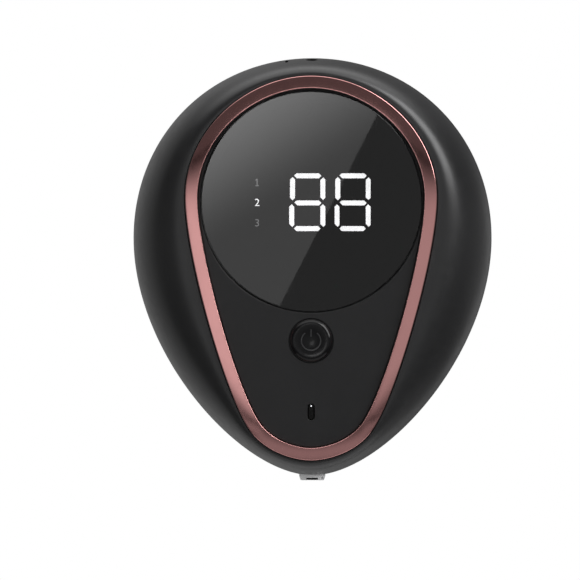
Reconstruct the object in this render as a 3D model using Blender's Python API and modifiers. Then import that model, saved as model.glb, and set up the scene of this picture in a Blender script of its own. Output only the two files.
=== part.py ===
"""Wall-mounted automatic foam soap dispenser with a teardrop housing.

Metres, +Z up, +X to the viewer's right, front towards -Y. The wall plane is Y = 0, and Z = 0 is the height
where the housing is widest, which is also the middle of the wall bracket.
"""

import math

import bmesh
import bpy
import numpy as np
from mathutils import Matrix, Vector

# Overall size
HALF_WIDTH = 0.06355
CROWN_HEIGHT = 0.0638
TOE_DEPTH = 0.0841
DEPTH = 0.060
NOZZLE_PROUD = 0.0017

# Curves are drawn this much larger, because a curve's fill is coarse at small sizes
DRAWN_SCALE = 1000.0

# Clearance between touching pieces, the overrun of every cut, and the span that welds
GAP = 0.0003
OVERRUN = 0.002
WELD_SPAN = 0.00001

# Housing
WALL = 0.0022
PARTING = -0.027
BACK_GAP = 0.0015
BACK_ROUND = 0.0105
CREST_DROP = 0.0017
RECESS_LIP = 0.0012
FLANGE_WIDTH = 0.006
FLANGE_THICK = 0.0019
REBATE_WIDTH = 0.001
REBATE_DEPTH = 0.0007
ROUND_POINTS = 60
DOME_STEPS = 5

# Trim ring outline and band
RING_TOP_DROP = 0.0064
RING_HALF_WIDTH = 0.0446
RING_WIDEST = 0.0115
RING_FLANK_HALF = 0.0202
RING_FLANK_FOOT_RISE = 0.0141
RING_TOE_RISE = 0.0053
BAND = 0.00435
BAND_EDGE = 0.0008
BAND_SHOULDER = 0.0015

# Front panel and display lens
PANEL_DROP = 0.0024
PANEL_THICK = 0.0024
LENS_RADIUS = 0.03905
LENS_HEIGHT = 0.0129
LENS_THICK = 0.0014
LENS_LEDGE = 0.0018
LENS_BEVEL = 0.0003

# Seven-segment display
DIGIT_WIDTH = 0.0130
DIGIT_HEIGHT = 0.0208
DIGIT_HEIGHT_PLACE = 0.0127
TENS_PLACE = -0.00106
UNITS_PLACE = 0.0150
SEGMENT_THICK = 0.0020
SEGMENT_GAP = 0.00075
GUIDE_CLEARANCE = 0.0002
GUIDE_BACKING = 0.0008
LEVEL_PLACE = -0.0190
LEVEL_PITCH = 0.0072
LEVEL_WIDTH = 0.0022
LEVEL_HEIGHT = 0.0031
MASK_BORDER = 0.0030

# Main board and what stands on it
BOARD_SPACE = 0.0060
BOARD_THICK = 0.0016
BOARD_INSET = 0.0050
CHIP_SIDE = 0.010
CHIP_THICK = 0.0013
CHIP_HEIGHT = -0.018
BOARD_SCREW_HEIGHTS = (0.044, -0.0515)

# Power button and its switch
BUTTON_RADIUS = 0.00745
BUTTON_CLEARANCE = 0.0003
BUTTON_HEIGHT = -0.0363
BUTTON_DOME = 0.0010
BUTTON_PROUD = 0.0004
BUTTON_FLANGE = 0.0014
BUTTON_FLANGE_THICK = 0.0009
SWITCH_SIDE = 0.0060
SWITCH_THICK = 0.0029
PLUNGER_RADIUS = 0.0017
PLUNGER_LENGTH = 0.0017
PLUNGER_WELL = 0.0010
SEAL_RING_WIDTH = 0.0020

# Status light window
SLOT_WIDTH = 0.0025
SLOT_HEIGHT = 0.0060
SLOT_PLACE_RISE = 0.0226
STATUS_LED_THICK = 0.0011

# Inner frame
FRAME_SPACE = 0.0016
FRAME_THICK = 0.0015
FRAME_INSET = 0.0005
FRAME_POST_INSET = 0.0032
FRAME_POST_RADIUS = 0.0026
FRAME_RIB = 0.0020
FRAME_WINDOW_HALF = 0.018
FRAME_WINDOW_LOW = 0.008
FRAME_WINDOW_HIGH = 0.034

# Housing screws
SCREW_UPPER_HALF = 0.0440
SCREW_UPPER_HEIGHT = 0.0080
SCREW_LOWER_HALF = 0.0340
SCREW_LOWER_HEIGHT = -0.0380
SCREW_RADIUS = 0.0015
SCREW_HEAD_RADIUS = 0.00275
SCREW_HEAD_THICK = 0.0019
SCREW_HEAD_SUNK = 0.0009
SCREW_LENGTH = 0.032
BOSS_RADIUS = 0.0037
COUNTERBORE_WALL = 0.0012
SMALL_SCREW_RADIUS = 0.0010
SMALL_HEAD_RADIUS = 0.0020
SMALL_HEAD_THICK = 0.0013
SMALL_SCREW_LENGTH = 0.0050
SCREW_SIDES = 10

# Wall bracket, pad and the pocket that takes them
PAD_THICK = 0.0010
BRACKET_HEIGHT = 0.030
BRACKET_STEM_HALF = 0.0220
BRACKET_HEAD_HALF = 0.0270
BRACKET_STEM_THICK = 0.0027
BRACKET_HEAD_THICK = 0.0025
LIP_THICK = 0.0020
POCKET_WALL = 0.0016
LIFT = 0.031
BRACKET_CORNER = 0.0010

# Battery
CELL_RADIUS = 0.0091
CELL_LENGTH = 0.0650
CELL_SPACE = 0.0004
CELL_FOOT_SPACE = 0.0019
CELL_TERMINAL_RADIUS = 0.0030
CELL_TERMINAL = 0.0008
CONTACT_THICK = 0.0005
CONTACT_SIDE = 0.0080

# Soap tank
TANK_HALF_WIDTH = 0.0395
TANK_TOP_DROP = 0.0108
TANK_FOOT_SPACE = 0.0009
TANK_SPACE = 0.0023
TANK_WALL = 0.0018
TANK_EDGE = 0.0030
TANK_POWER_SHARE = 3.2
NECK_RADIUS = 0.0070
NECK_BORE = 0.0052
NECK_DEPTH_PLACE = -0.0155
NECK_TOP_DROP = 0.0066
SPIGOT_RADIUS = 0.0016
SPIGOT_BORE = 0.0010
SPIGOT_LENGTH = 0.0040
TUBE_RADIUS = 0.0026
TUBE_BORE = 0.0019
INLET_SIDE = 0.0180
INLET_DEPTH_PLACE = -0.0195

# Filler lid
LID_HALF_WIDTH = 0.0080
LID_FRONT = -0.0232
LID_BACK = -0.0078
LID_BOTTOM_DROP = 0.0049
LID_AXIS_DEPTH = -0.0086
LID_AXIS_DROP = 0.0044
LID_BACK_GAP = 0.0012
LID_PIN_RADIUS = 0.0004
LID_BORE_RADIUS = 0.00065
LID_PIN_REACH = 0.0012
LID_SEAL_RADIUS = 0.0064
LID_SEAL_THICK = 0.0010
NOTCH_HALF = 0.0025
NOTCH_DEPTH = 0.0008
VENT_RADIUS = 0.00045
VENT_SIDE = -0.0098
VENT_DEPTH_PLACE = -0.0340

# Pump and motor, on an axis along X
PUMP_DEPTH_PLACE = -0.0290
PUMP_RISE = 0.0371
MOTOR_RADIUS = 0.0122
MOTOR_START = -0.0280
MOTOR_END = 0.0010
MOTOR_BOSS_RADIUS = 0.0030
MOTOR_BOSS = 0.0012
SHAFT_RADIUS = 0.0010
SHAFT_START = -0.0100
SHAFT_END = 0.0048
PUMP_RADIUS = 0.0125
PUMP_WALL = 0.0018
BASE_END = 0.0093
WHEEL_START = 0.0031
WHEEL_END = 0.0052
WHEEL_RADIUS = 0.0055
PIN_OFFSET = 0.0030
PIN_APEX = 0.0125
PIN_RADIUS = 0.0007
PIN_END = 0.0079
SWING_START = 0.0062
SWING_THICK = 0.0013
SWING_HUB = 0.0046
SWING_BORE = 0.0034
PADDLE_RADIUS = 0.0026
CUP_COUNT = 3
CUP_CIRCLE = 0.0065
CUP_RADIUS = 0.0030
FOOT_RADIUS = 0.0007
FOOT_HOLE = 0.0011
FOOT_START = 0.0058
DIAPHRAGM_THICK = 0.0010
VALVE_THICK = 0.0030
VALVE_HOLE = 0.0009
HEAD_THICK = 0.0080
OUTLET_LENGTH = 0.0045

# Foamer, nozzle and foam tube
NOZZLE_DEPTH_PLACE = -0.0335
NOZZLE_TOP_RADIUS = 0.00465
NOZZLE_TIP_RADIUS = 0.00415
NOZZLE_MOUTH = 0.0022
NOZZLE_FLANGE_RADIUS = 0.0056
NOZZLE_FLANGE_TOP_RISE = 0.0048
NOZZLE_FLANGE_THICK = 0.0012
NOZZLE_SPIGOT = 0.0042
NOZZLE_SPIGOT_TOP_RISE = 0.0131
FOAMER_RADIUS = 0.0062
FOAMER_TOP_RISE = 0.0221
FOAMER_END_RISE = 0.0071
FOAMER_BORE = 0.0045
FOAMER_CHAMBER = 0.0030
FOAMER_SHOULDER_RISE = 0.0141
FOAMER_INLET_RISE = 0.0178
FOAMER_INLET_LENGTH = 0.0045
MESH_THICK = 0.0004
FOAM_ROUTE_BEND = 0.0330
FOAM_ROUTE_POINTS = 18

# Sensor
SENSOR_DEPTH_PLACE = -0.0150
SENSOR_WINDOW_RADIUS = 0.0036
SENSOR_WINDOW_FACE_RISE = 0.0013
SENSOR_WINDOW_TOP_RISE = 0.0051
SENSOR_PITCH = 0.0038
SENSOR_LED_RADIUS = 0.0014
SENSOR_LED_LENGTH = 0.0048
SENSOR_BOARD_THICK = 0.0012
SENSOR_BOARD_HALF = 0.0080
SENSOR_BOARD_DEPTH = 0.0090
SENSOR_RIB_HALF = 0.0040

# Charge socket, its board and its cover
CHARGE_RISE = 0.0281
SOCKET_HALF_WIDTH = 0.00447
SOCKET_HALF_HEIGHT = 0.0016
SOCKET_LENGTH = 0.0070
SOCKET_WALL = 0.0003
SOCKET_SUNK = 0.0012
CHARGE_BOARD_THICK = 0.0012
CHARGE_BOARD_HALF = 0.0080
CHARGE_BOARD_DEPTH = 0.0100
COVER_HALF_WIDTH = 0.0080
COVER_HALF_HEIGHT = 0.0040
COVER_THICK = 0.0011
COVER_SUNK = 0.0006
COVER_CORNER = 0.0012

# Shape shares, each of the size beside it
BODY_CROWN_SIDE_SHARE = 0.565
BODY_CROWN_RISE_SHARE = 0.575
BODY_TOE_DROP_SHARE = 0.494
BODY_TOE_SIDE_SHARE = 0.394
RING_CROWN_SIDE_SHARE = 0.572
RING_CROWN_RISE_SHARE = 0.580
RING_FLANK_DROP_SHARE = 0.275
RING_FLANK_HANDLE_SHARE = 0.25
RING_TOE_HANDLE_SHARE = 0.80
RING_TOE_SIDE_SHARE = 0.45
DOME_FULLNESS_SHARE = 0.85
LOFT_CENTRE_SHARE = 0.06
PORT_SHARES = (0.5, 1.2)
FOAM_FALL_SHARES = (0.18, 0.48, 0.82)
FOAM_TURN_SHARE = 0.80
RING_FLANK_ANGLE = math.radians(58)

FRONT = -DEPTH
CREST = FRONT + CREST_DROP
BACK = -BACK_GAP
PANEL_FRONT = FRONT + PANEL_DROP
PANEL_BACK = PANEL_FRONT + PANEL_THICK
FLANGE_FRONT = PANEL_BACK + GAP
FLANGE_BACK = FLANGE_FRONT + FLANGE_THICK
BOARD_FRONT = PANEL_BACK + BOARD_SPACE
BOARD_BACK = BOARD_FRONT + BOARD_THICK
FRAME_FRONT = BOARD_BACK + FRAME_SPACE
FRAME_BACK = FRAME_FRONT + FRAME_THICK
TANK_FRONT = FRAME_BACK + TANK_SPACE
CELL_DEPTH_PLACE = FRAME_BACK + CELL_SPACE + CELL_RADIUS

# Heights that follow the toe, then those that follow the crown
RING_TOE = RING_TOE_RISE - TOE_DEPTH
SLOT_PLACE = SLOT_PLACE_RISE - TOE_DEPTH
PUMP_HEIGHT = PUMP_RISE - TOE_DEPTH
NOZZLE_FLANGE_TOP = NOZZLE_FLANGE_TOP_RISE - TOE_DEPTH
NOZZLE_SPIGOT_TOP = NOZZLE_SPIGOT_TOP_RISE - TOE_DEPTH
FOAMER_TOP = FOAMER_TOP_RISE - TOE_DEPTH
FOAMER_END = FOAMER_END_RISE - TOE_DEPTH
FOAMER_SHOULDER = FOAMER_SHOULDER_RISE - TOE_DEPTH
FOAMER_INLET_HEIGHT = FOAMER_INLET_RISE - TOE_DEPTH
SENSOR_WINDOW_FACE = SENSOR_WINDOW_FACE_RISE - TOE_DEPTH
SENSOR_WINDOW_TOP = SENSOR_WINDOW_TOP_RISE - TOE_DEPTH
CHARGE_HEIGHT = CHARGE_RISE - TOE_DEPTH
RING_FLANK_FOOT = RING_FLANK_FOOT_RISE - TOE_DEPTH
CELL_HEIGHT = PUMP_HEIGHT + PUMP_RADIUS + CELL_FOOT_SPACE + CELL_RADIUS
TANK_FLOOR = CELL_HEIGHT + CELL_RADIUS + TANK_FOOT_SPACE
RING_TOP = CROWN_HEIGHT - RING_TOP_DROP
TANK_TOP = CROWN_HEIGHT - TANK_TOP_DROP
NECK_TOP = CROWN_HEIGHT - NECK_TOP_DROP
LID_BOTTOM = CROWN_HEIGHT - LID_BOTTOM_DROP
LID_AXIS_HEIGHT = CROWN_HEIGHT - LID_AXIS_DROP

for leftover in list(bpy.data.objects):
    bpy.data.objects.remove(leftover, do_unlink=True)
parts = bpy.data.collections.new("foam_soap_dispenser")
cutters = bpy.data.collections.new("cutters")
for collection in (parts, cutters):
    bpy.context.scene.collection.children.link(collection)


def material(name, colour, roughness, metallic=0.0):
    """A plain Principled material."""
    made = bpy.data.materials.new(name)
    made.use_nodes = True
    shader = made.node_tree.nodes["Principled BSDF"]
    shader.inputs["Base Color"].default_value = (*colour, 1.0)
    shader.inputs["Roughness"].default_value = roughness
    shader.inputs["Metallic"].default_value = metallic
    return made


CHARCOAL = material("charcoal_shell", (0.020, 0.020, 0.022), 0.40)
PANEL_BLACK = material("panel_black", (0.014, 0.014, 0.016), 0.45)
ROSE_GOLD = material("rose_gold", (0.45, 0.24, 0.22), 0.28, 1.0)
SMOKED = material("smoked_lens", (0.010, 0.010, 0.012), 0.08)
GLOSS_BLACK = material("gloss_black", (0.008, 0.008, 0.009), 0.12)
LIGHT_GUIDE = material("light_guide", (0.90, 0.90, 0.88), 0.30)
GREY_PLASTIC = material("grey_plastic", (0.42, 0.42, 0.42), 0.50)
CLEAR_TANK = material("tank_plastic", (0.55, 0.58, 0.60), 0.35)
SILICONE = material("silicone", (0.30, 0.30, 0.30), 0.65)
BOARD_GREEN = material("board_green", (0.02, 0.12, 0.06), 0.45)
STEEL = material("steel", (0.60, 0.60, 0.62), 0.30, 1.0)
CELL_WRAP = material("cell_wrap", (0.05, 0.16, 0.30), 0.40)
FOAM_TAPE = material("foam_tape", (0.65, 0.65, 0.62), 0.90)


def link(name, mesh, finish=None):
    """Links a mesh as a named sub-part, or as a hidden cutter when it has no finish."""
    made = bpy.data.objects.new(name, mesh)
    if finish is None:
        cutters.objects.link(made)
        made.hide_render = True
        made.display_type = "WIRE"
    else:
        parts.objects.link(made)
        mesh.materials.clear()
        mesh.materials.append(finish)
    return made


def shade(made, angle=math.radians(35)):
    """Smooth shading that keeps edges sharper than the angle."""
    made.data.shade_smooth()
    made.data.set_sharp_from_angle(angle=angle)
    return made


def combine(made, other, operation):
    """Adds a Boolean with another object, which becomes a hidden helper."""
    if other.name not in cutters.objects:
        parts.objects.unlink(other)
        cutters.objects.link(other)
    other.hide_render = True
    other.display_type = "WIRE"
    boolean = made.modifiers.new(other.name, "BOOLEAN")
    boolean.operation = operation
    boolean.object = other
    return made


def cut(made, *others):
    for other in others:
        combine(made, other, "DIFFERENCE")
    return made


def join(made, *others):
    for other in others:
        combine(made, other, "UNION")
    return made


def bevel(made, width, segments=1):
    """Rounds the edges sharper than 40 degrees."""
    rounding = made.modifiers.new("edge_round", "BEVEL")
    rounding.width = width
    rounding.segments = segments
    rounding.limit_method = "ANGLE"
    rounding.angle_limit = math.radians(40)
    return made


def block(name, low, high, finish=None, edge=0.0):
    """A box between two corners, with bevelled edges."""
    low = Vector(low)
    high = Vector(high)
    shape = bmesh.new()
    bmesh.ops.create_cube(shape, size=1.0)
    bmesh.ops.scale(shape, vec=high - low, verts=shape.verts)
    mesh = bpy.data.meshes.new(name)
    shape.to_mesh(mesh)
    shape.free()
    made = link(name, mesh, finish)
    made.location = (low + high) / 2
    if edge:
        bevel(made, edge)
    return made


def rod(name, start, end, radius, finish=None, sides=16, end_radius=None):
    """A cylinder or cone from one point to another."""
    start = Vector(start)
    end = Vector(end)
    shape = bmesh.new()
    bmesh.ops.create_cone(
        shape,
        cap_ends=True,
        segments=sides,
        radius1=radius,
        radius2=radius if end_radius is None else end_radius,
        depth=(end - start).length,
    )
    mesh = bpy.data.meshes.new(name)
    shape.to_mesh(mesh)
    shape.free()
    made = link(name, mesh, finish)
    made.location = (start + end) / 2
    made.rotation_mode = "QUATERNION"
    made.rotation_quaternion = (end - start).to_track_quat("Z", "Y")
    return made if finish is None else shade(made)


AXIS_TURN = {
    "X": (0.0, math.pi / 2, 0.0),
    "Y": (-math.pi / 2, 0.0, 0.0),
    "Z": (0.0, 0.0, 0.0),
}


def turned(name, profile, place, axis, finish=None, steps=24, hollow=False):
    """A profile of radius and height pairs, highest first, turned about an axis by a Screw modifier."""
    mesh = bpy.data.meshes.new(name)
    count = len(profile)
    edges = [(i, i + 1) for i in range(count - 1)]
    if hollow:
        edges.append((count - 1, 0))
    mesh.from_pydata([(radius, 0.0, height) for radius, height in profile], edges, [])
    made = link(name, mesh, finish)
    made.location = place
    made.rotation_euler = AXIS_TURN[axis]
    screw = made.modifiers.new("turn", "SCREW")
    screw.steps = steps
    screw.render_steps = steps
    screw.use_merge_vertices = True
    screw.merge_threshold = WELD_SPAN
    screw.use_smooth_shade = False
    return made


def flat_curve(name, points, thickness):
    """A filled 2D curve with half its thickness as extrusion, at the drawn scale."""
    curve = bpy.data.curves.new(name, "CURVE")
    curve.dimensions = "2D"
    curve.fill_mode = "BOTH"
    curve.extrude = thickness / 2 * DRAWN_SCALE
    spline = curve.splines.new("POLY")
    spline.points.add(len(points) - 1)
    for point, (across, up) in zip(spline.points, points):
        point.co = (across * DRAWN_SCALE, up * DRAWN_SCALE, 0.0, 1.0)
    spline.use_cyclic_u = True
    return curve


def meshed(name, curve, matrix, finish):
    """Turns a curve into a welded mesh object of the same name."""
    holder = bpy.data.objects.new(name + "_curve", curve)
    bpy.context.scene.collection.objects.link(holder)
    bpy.context.view_layer.update()
    graph = bpy.context.evaluated_depsgraph_get()
    mesh = bpy.data.meshes.new_from_object(holder.evaluated_get(graph))
    bpy.data.objects.remove(holder, do_unlink=True)
    shape = bmesh.new()
    shape.from_mesh(mesh)
    bmesh.ops.scale(shape, vec=Vector((1.0, 1.0, 1.0)) / DRAWN_SCALE, verts=shape.verts)
    bmesh.ops.remove_doubles(shape, verts=shape.verts, dist=WELD_SPAN)
    bmesh.ops.recalc_face_normals(shape, faces=shape.faces)
    shape.to_mesh(mesh)
    shape.free()
    made = link(name, mesh, finish)
    made.matrix_world = matrix
    return made


def sheet(name, points, front, back, finish=None):
    """A flat outline of (x, z) points, extruded from one depth to another."""
    matrix = Matrix.Translation((0.0, (front + back) / 2, 0.0)) @ Matrix.Rotation(math.pi / 2, 4, "X")
    return meshed(name, flat_curve(name, points, back - front), matrix, finish)


def tube(name, points, radius, finish=None):
    """A round tube along points, with filled caps."""
    curve = bpy.data.curves.new(name, "CURVE")
    curve.dimensions = "3D"
    curve.bevel_depth = radius * DRAWN_SCALE
    curve.bevel_resolution = 2
    curve.use_fill_caps = True
    spline = curve.splines.new("POLY")
    spline.points.add(len(points) - 1)
    for point, place in zip(spline.points, points):
        point.co = (*(np.array(place) * DRAWN_SCALE), 1.0)
    return meshed(name, curve, Matrix.Identity(4), finish)


def slot_points(across, up, width, height, steps=6):
    """A slot outline with round ends, centred at a place."""
    radius = width / 2
    straight = height / 2 - radius
    turn = np.linspace(0.0, math.pi, steps + 1)
    top = np.stack([across + radius * np.cos(turn), up + straight + radius * np.sin(turn)], axis=1)
    return np.concatenate([top, [2 * across, 2 * up] - top])


def bezier(start, first, second, end, count=80):
    t = np.linspace(0.0, 1.0, count)[:, None]
    start, first, second, end = (np.array(point) for point in (start, first, second, end))
    return (1 - t) ** 3 * start + 3 * (1 - t) ** 2 * t * first + 3 * (1 - t) * t**2 * second + t**3 * end


def body_half():
    """Right half of the silhouette, from the crown round to the toe."""
    crown = bezier(
        (0.0, CROWN_HEIGHT),
        (BODY_CROWN_SIDE_SHARE * HALF_WIDTH, CROWN_HEIGHT),
        (HALF_WIDTH, BODY_CROWN_RISE_SHARE * CROWN_HEIGHT),
        (HALF_WIDTH, 0.0),
    )
    toe = bezier(
        (HALF_WIDTH, 0.0),
        (HALF_WIDTH, -BODY_TOE_DROP_SHARE * TOE_DEPTH),
        (BODY_TOE_SIDE_SHARE * HALF_WIDTH, -TOE_DEPTH),
        (0.0, -TOE_DEPTH),
    )
    return np.concatenate([crown, toe[1:]])


def ring_half():
    """Right half of the trim ring's outer edge: a crown, a long flank and a tight toe."""
    rise = RING_TOP - RING_WIDEST
    fall = RING_WIDEST - RING_FLANK_FOOT
    drop = RING_FLANK_FOOT - RING_TOE
    foot = np.array([RING_FLANK_HALF, RING_FLANK_FOOT])
    along = np.array([math.cos(RING_FLANK_ANGLE), math.sin(RING_FLANK_ANGLE)])
    crown = bezier(
        (0.0, RING_TOP),
        (RING_CROWN_SIDE_SHARE * RING_HALF_WIDTH, RING_TOP),
        (RING_HALF_WIDTH, RING_WIDEST + RING_CROWN_RISE_SHARE * rise),
        (RING_HALF_WIDTH, RING_WIDEST),
    )
    flank = bezier(
        (RING_HALF_WIDTH, RING_WIDEST),
        (RING_HALF_WIDTH, RING_WIDEST - RING_FLANK_DROP_SHARE * fall),
        foot + along * RING_FLANK_HANDLE_SHARE * fall,
        foot,
    )
    toe = bezier(
        foot,
        foot - along * RING_TOE_HANDLE_SHARE * drop,
        (RING_TOE_SIDE_SHARE * RING_FLANK_HALF, RING_TOE),
        (0.0, RING_TOE),
    )
    return np.concatenate([crown, flank[1:], toe[1:]])


LOFT_CENTRE = -LOFT_CENTRE_SHARE * TOE_DEPTH


def loft_angles():
    """Angles from the top, clockwise. Points gather where the ring's outline turns fast."""
    half = ring_half()
    steps = np.diff(half, axis=0)
    lengths = np.linalg.norm(steps, axis=1)
    headings = np.unwrap(np.arctan2(steps[:, 1], steps[:, 0]))
    turned_by = np.abs(np.diff(headings, prepend=headings[0]))
    run = np.cumsum(lengths / lengths.sum() + turned_by / turned_by.sum())
    run = np.concatenate([[0.0], run])
    even = np.linspace(0.0, run[-1], ROUND_POINTS // 2 + 1)
    across = np.interp(even, run, half[:, 0])
    up = np.interp(even, run, half[:, 1]) - LOFT_CENTRE
    right = np.arctan2(across, up)
    return np.concatenate([right, 2 * math.pi - right[-2:0:-1]])


def rim(half, inset, angles):
    """An outline moved inwards and read at the given angles about the loft's centre."""
    whole = np.concatenate([half, half[-2:0:-1] * [-1.0, 1.0]])
    ahead = np.roll(whole, -1, axis=0) - np.roll(whole, 1, axis=0)
    inward = np.stack([ahead[:, 1], -ahead[:, 0]], axis=1)
    moved = whole + inset * inward / np.linalg.norm(inward, axis=1)[:, None]
    rise = moved[:, 1] - LOFT_CENTRE
    turn = np.mod(np.arctan2(moved[:, 0], rise), 2 * math.pi)
    order = np.argsort(turn)
    reach = np.hypot(moved[:, 0], rise)[order]
    radius = np.interp(angles, turn[order], reach, period=2 * math.pi)
    return np.stack([radius * np.sin(angles), LOFT_CENTRE + radius * np.cos(angles)], axis=1)


ANGLES = loft_angles()
BODY_HALF = body_half()
RING_HALF = ring_half()


def body(inset):
    return rim(BODY_HALF, inset, ANGLES)


def ring(inset):
    return rim(RING_HALF, inset, ANGLES)


def loft(name, sections, finish=None, endless=False):
    """Skins outlines at their depths into a closed body: a tube closed on itself, or one with flat ends."""
    count = len(sections[0][0])
    points = [(across, depth, up) for outline, depth in sections for across, up in outline]
    shape = bmesh.new()
    rows = [shape.verts.new(point) for point in points]
    rows = [rows[i : i + count] for i in range(0, len(rows), count)]
    pairs = list(zip(rows, rows[1:]))
    if endless:
        pairs.append((rows[-1], rows[0]))
    else:
        shape.faces.new(rows[0])
        shape.faces.new(rows[-1])
    for first, second in pairs:
        for i in range(count):
            j = (i + 1) % count
            shape.faces.new((first[i], first[j], second[j], second[i]))
    bmesh.ops.recalc_face_normals(shape, faces=shape.faces)
    mesh = bpy.data.meshes.new(name)
    shape.to_mesh(mesh)
    shape.free()
    made = link(name, mesh, finish)
    if finish is not None:
        shade(made)
    return made


def dome(inner, inner_depth, outer, outer_depth, steps):
    """Sections that roll from a front outline back to a wider one, as a full quarter round."""
    sections = []
    for step in range(steps + 1):
        turn = step / steps * math.pi / 2
        share = math.sin(turn) ** DOME_FULLNESS_SHARE
        depth = outer_depth + (inner_depth - outer_depth) * math.cos(turn)
        sections.append((inner + (outer - inner) * share, depth))
    return sections


def bowl(inset, rounding, start, end, steps):
    """Sections that roll from the silhouette in towards the flat back."""
    sections = []
    for step in range(steps + 1):
        turn = step / steps * math.pi / 2
        depth = start + (end - start) * math.sin(turn)
        sections.append((body(inset + rounding * (1 - math.cos(turn))), depth))
    return sections


HOUSING_SCREWS = (
    (-SCREW_UPPER_HALF, SCREW_UPPER_HEIGHT),
    (SCREW_UPPER_HALF, SCREW_UPPER_HEIGHT),
    (-SCREW_LOWER_HALF, SCREW_LOWER_HEIGHT),
    (SCREW_LOWER_HALF, SCREW_LOWER_HEIGHT),
)
FRAME_POST_SHARES = (0.12, 0.88, 0.38, 0.62)
FRAME_POSTS = [
    tuple(ring(FRAME_POST_INSET)[round(share * ROUND_POINTS)]) for share in FRAME_POST_SHARES
]
HOLE = SCREW_RADIUS + GAP
SMALL_HOLE = SMALL_SCREW_RADIUS + GAP
NOZZLE_TIP = -TOE_DEPTH - NOZZLE_PROUD


def front_housing():
    """Domed front shell: ring recess and flange, four long screw bosses and the posts of the inner frame."""
    edge = ring(-GAP)
    outer = dome(edge, CREST, body(0.0), PARTING - GAP / 2, DOME_STEPS)
    inner = dome(
        ring(-GAP - RECESS_LIP), FLANGE_BACK, body(WALL), PARTING - REBATE_DEPTH, DOME_STEPS - 1
    )
    sections = [(ring(FLANGE_WIDTH), FLANGE_FRONT), (ring(FLANGE_WIDTH), FLANGE_BACK)]
    sections += inner
    sections += [(body(REBATE_WIDTH), PARTING - REBATE_DEPTH), (body(REBATE_WIDTH), PARTING - GAP / 2)]
    sections += outer[::-1]
    sections.append((edge, FLANGE_FRONT))
    made = loft("front_housing", sections, CHARCOAL, endless=True)
    root = (FLANGE_FRONT + FLANGE_BACK) / 2
    for number, (across, up) in enumerate(HOUSING_SCREWS, 1):
        seam = PARTING - GAP / 2
        boss = rod(f"front_boss_{number}", (across, root, up), (across, seam, up), BOSS_RADIUS)
        bore_end = BACK - SCREW_LENGTH - SCREW_HEAD_SUNK - SCREW_HEAD_THICK - GAP
        bore = rod(f"front_bore_{number}", (across, bore_end, up), (across, PARTING + OVERRUN, up), HOLE)
        join(made, boss)
        cut(made, bore)
    for number, (across, up) in enumerate(FRAME_POSTS, 1):
        tip = (across, FRAME_FRONT - GAP, up)
        post = rod(f"frame_post_{number}", (across, root, up), tip, FRAME_POST_RADIUS)
        bore = rod(f"frame_bore_{number}", (across, FLANGE_BACK, up), (across, FRAME_FRONT, up), SMALL_HOLE)
        join(made, post)
        cut(made, bore)
    vent = rod(
        "vent_cutter",
        (VENT_SIDE, VENT_DEPTH_PLACE, CROWN_HEIGHT / 2),
        (VENT_SIDE, VENT_DEPTH_PLACE, CROWN_HEIGHT + OVERRUN),
        VENT_RADIUS,
        sides=8,
    )
    nozzle_hole = rod(
        "nozzle_hole",
        (0.0, NOZZLE_DEPTH_PLACE, NOZZLE_FLANGE_TOP - NOZZLE_FLANGE_THICK - GAP),
        (0.0, NOZZLE_DEPTH_PLACE, NOZZLE_TIP - OVERRUN),
        NOZZLE_TOP_RADIUS + GAP,
        sides=24,
    )
    return cut(made, vent, nozzle_hole)


POCKET_LIP = BACK - LIP_THICK
BRACKET_HEAD_BACK = -PAD_THICK - GAP - BRACKET_STEM_THICK
BRACKET_HEAD_FRONT = BRACKET_HEAD_BACK - BRACKET_HEAD_THICK
POCKET_FRONT = BRACKET_HEAD_FRONT - GAP
POCKET_TOP = BRACKET_HEIGHT / 2 + GAP
POCKET_STEP = -BRACKET_HEIGHT / 2 - 2 * GAP
POCKET_LOW = -BRACKET_HEIGHT / 2 - LIFT - GAP


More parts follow.
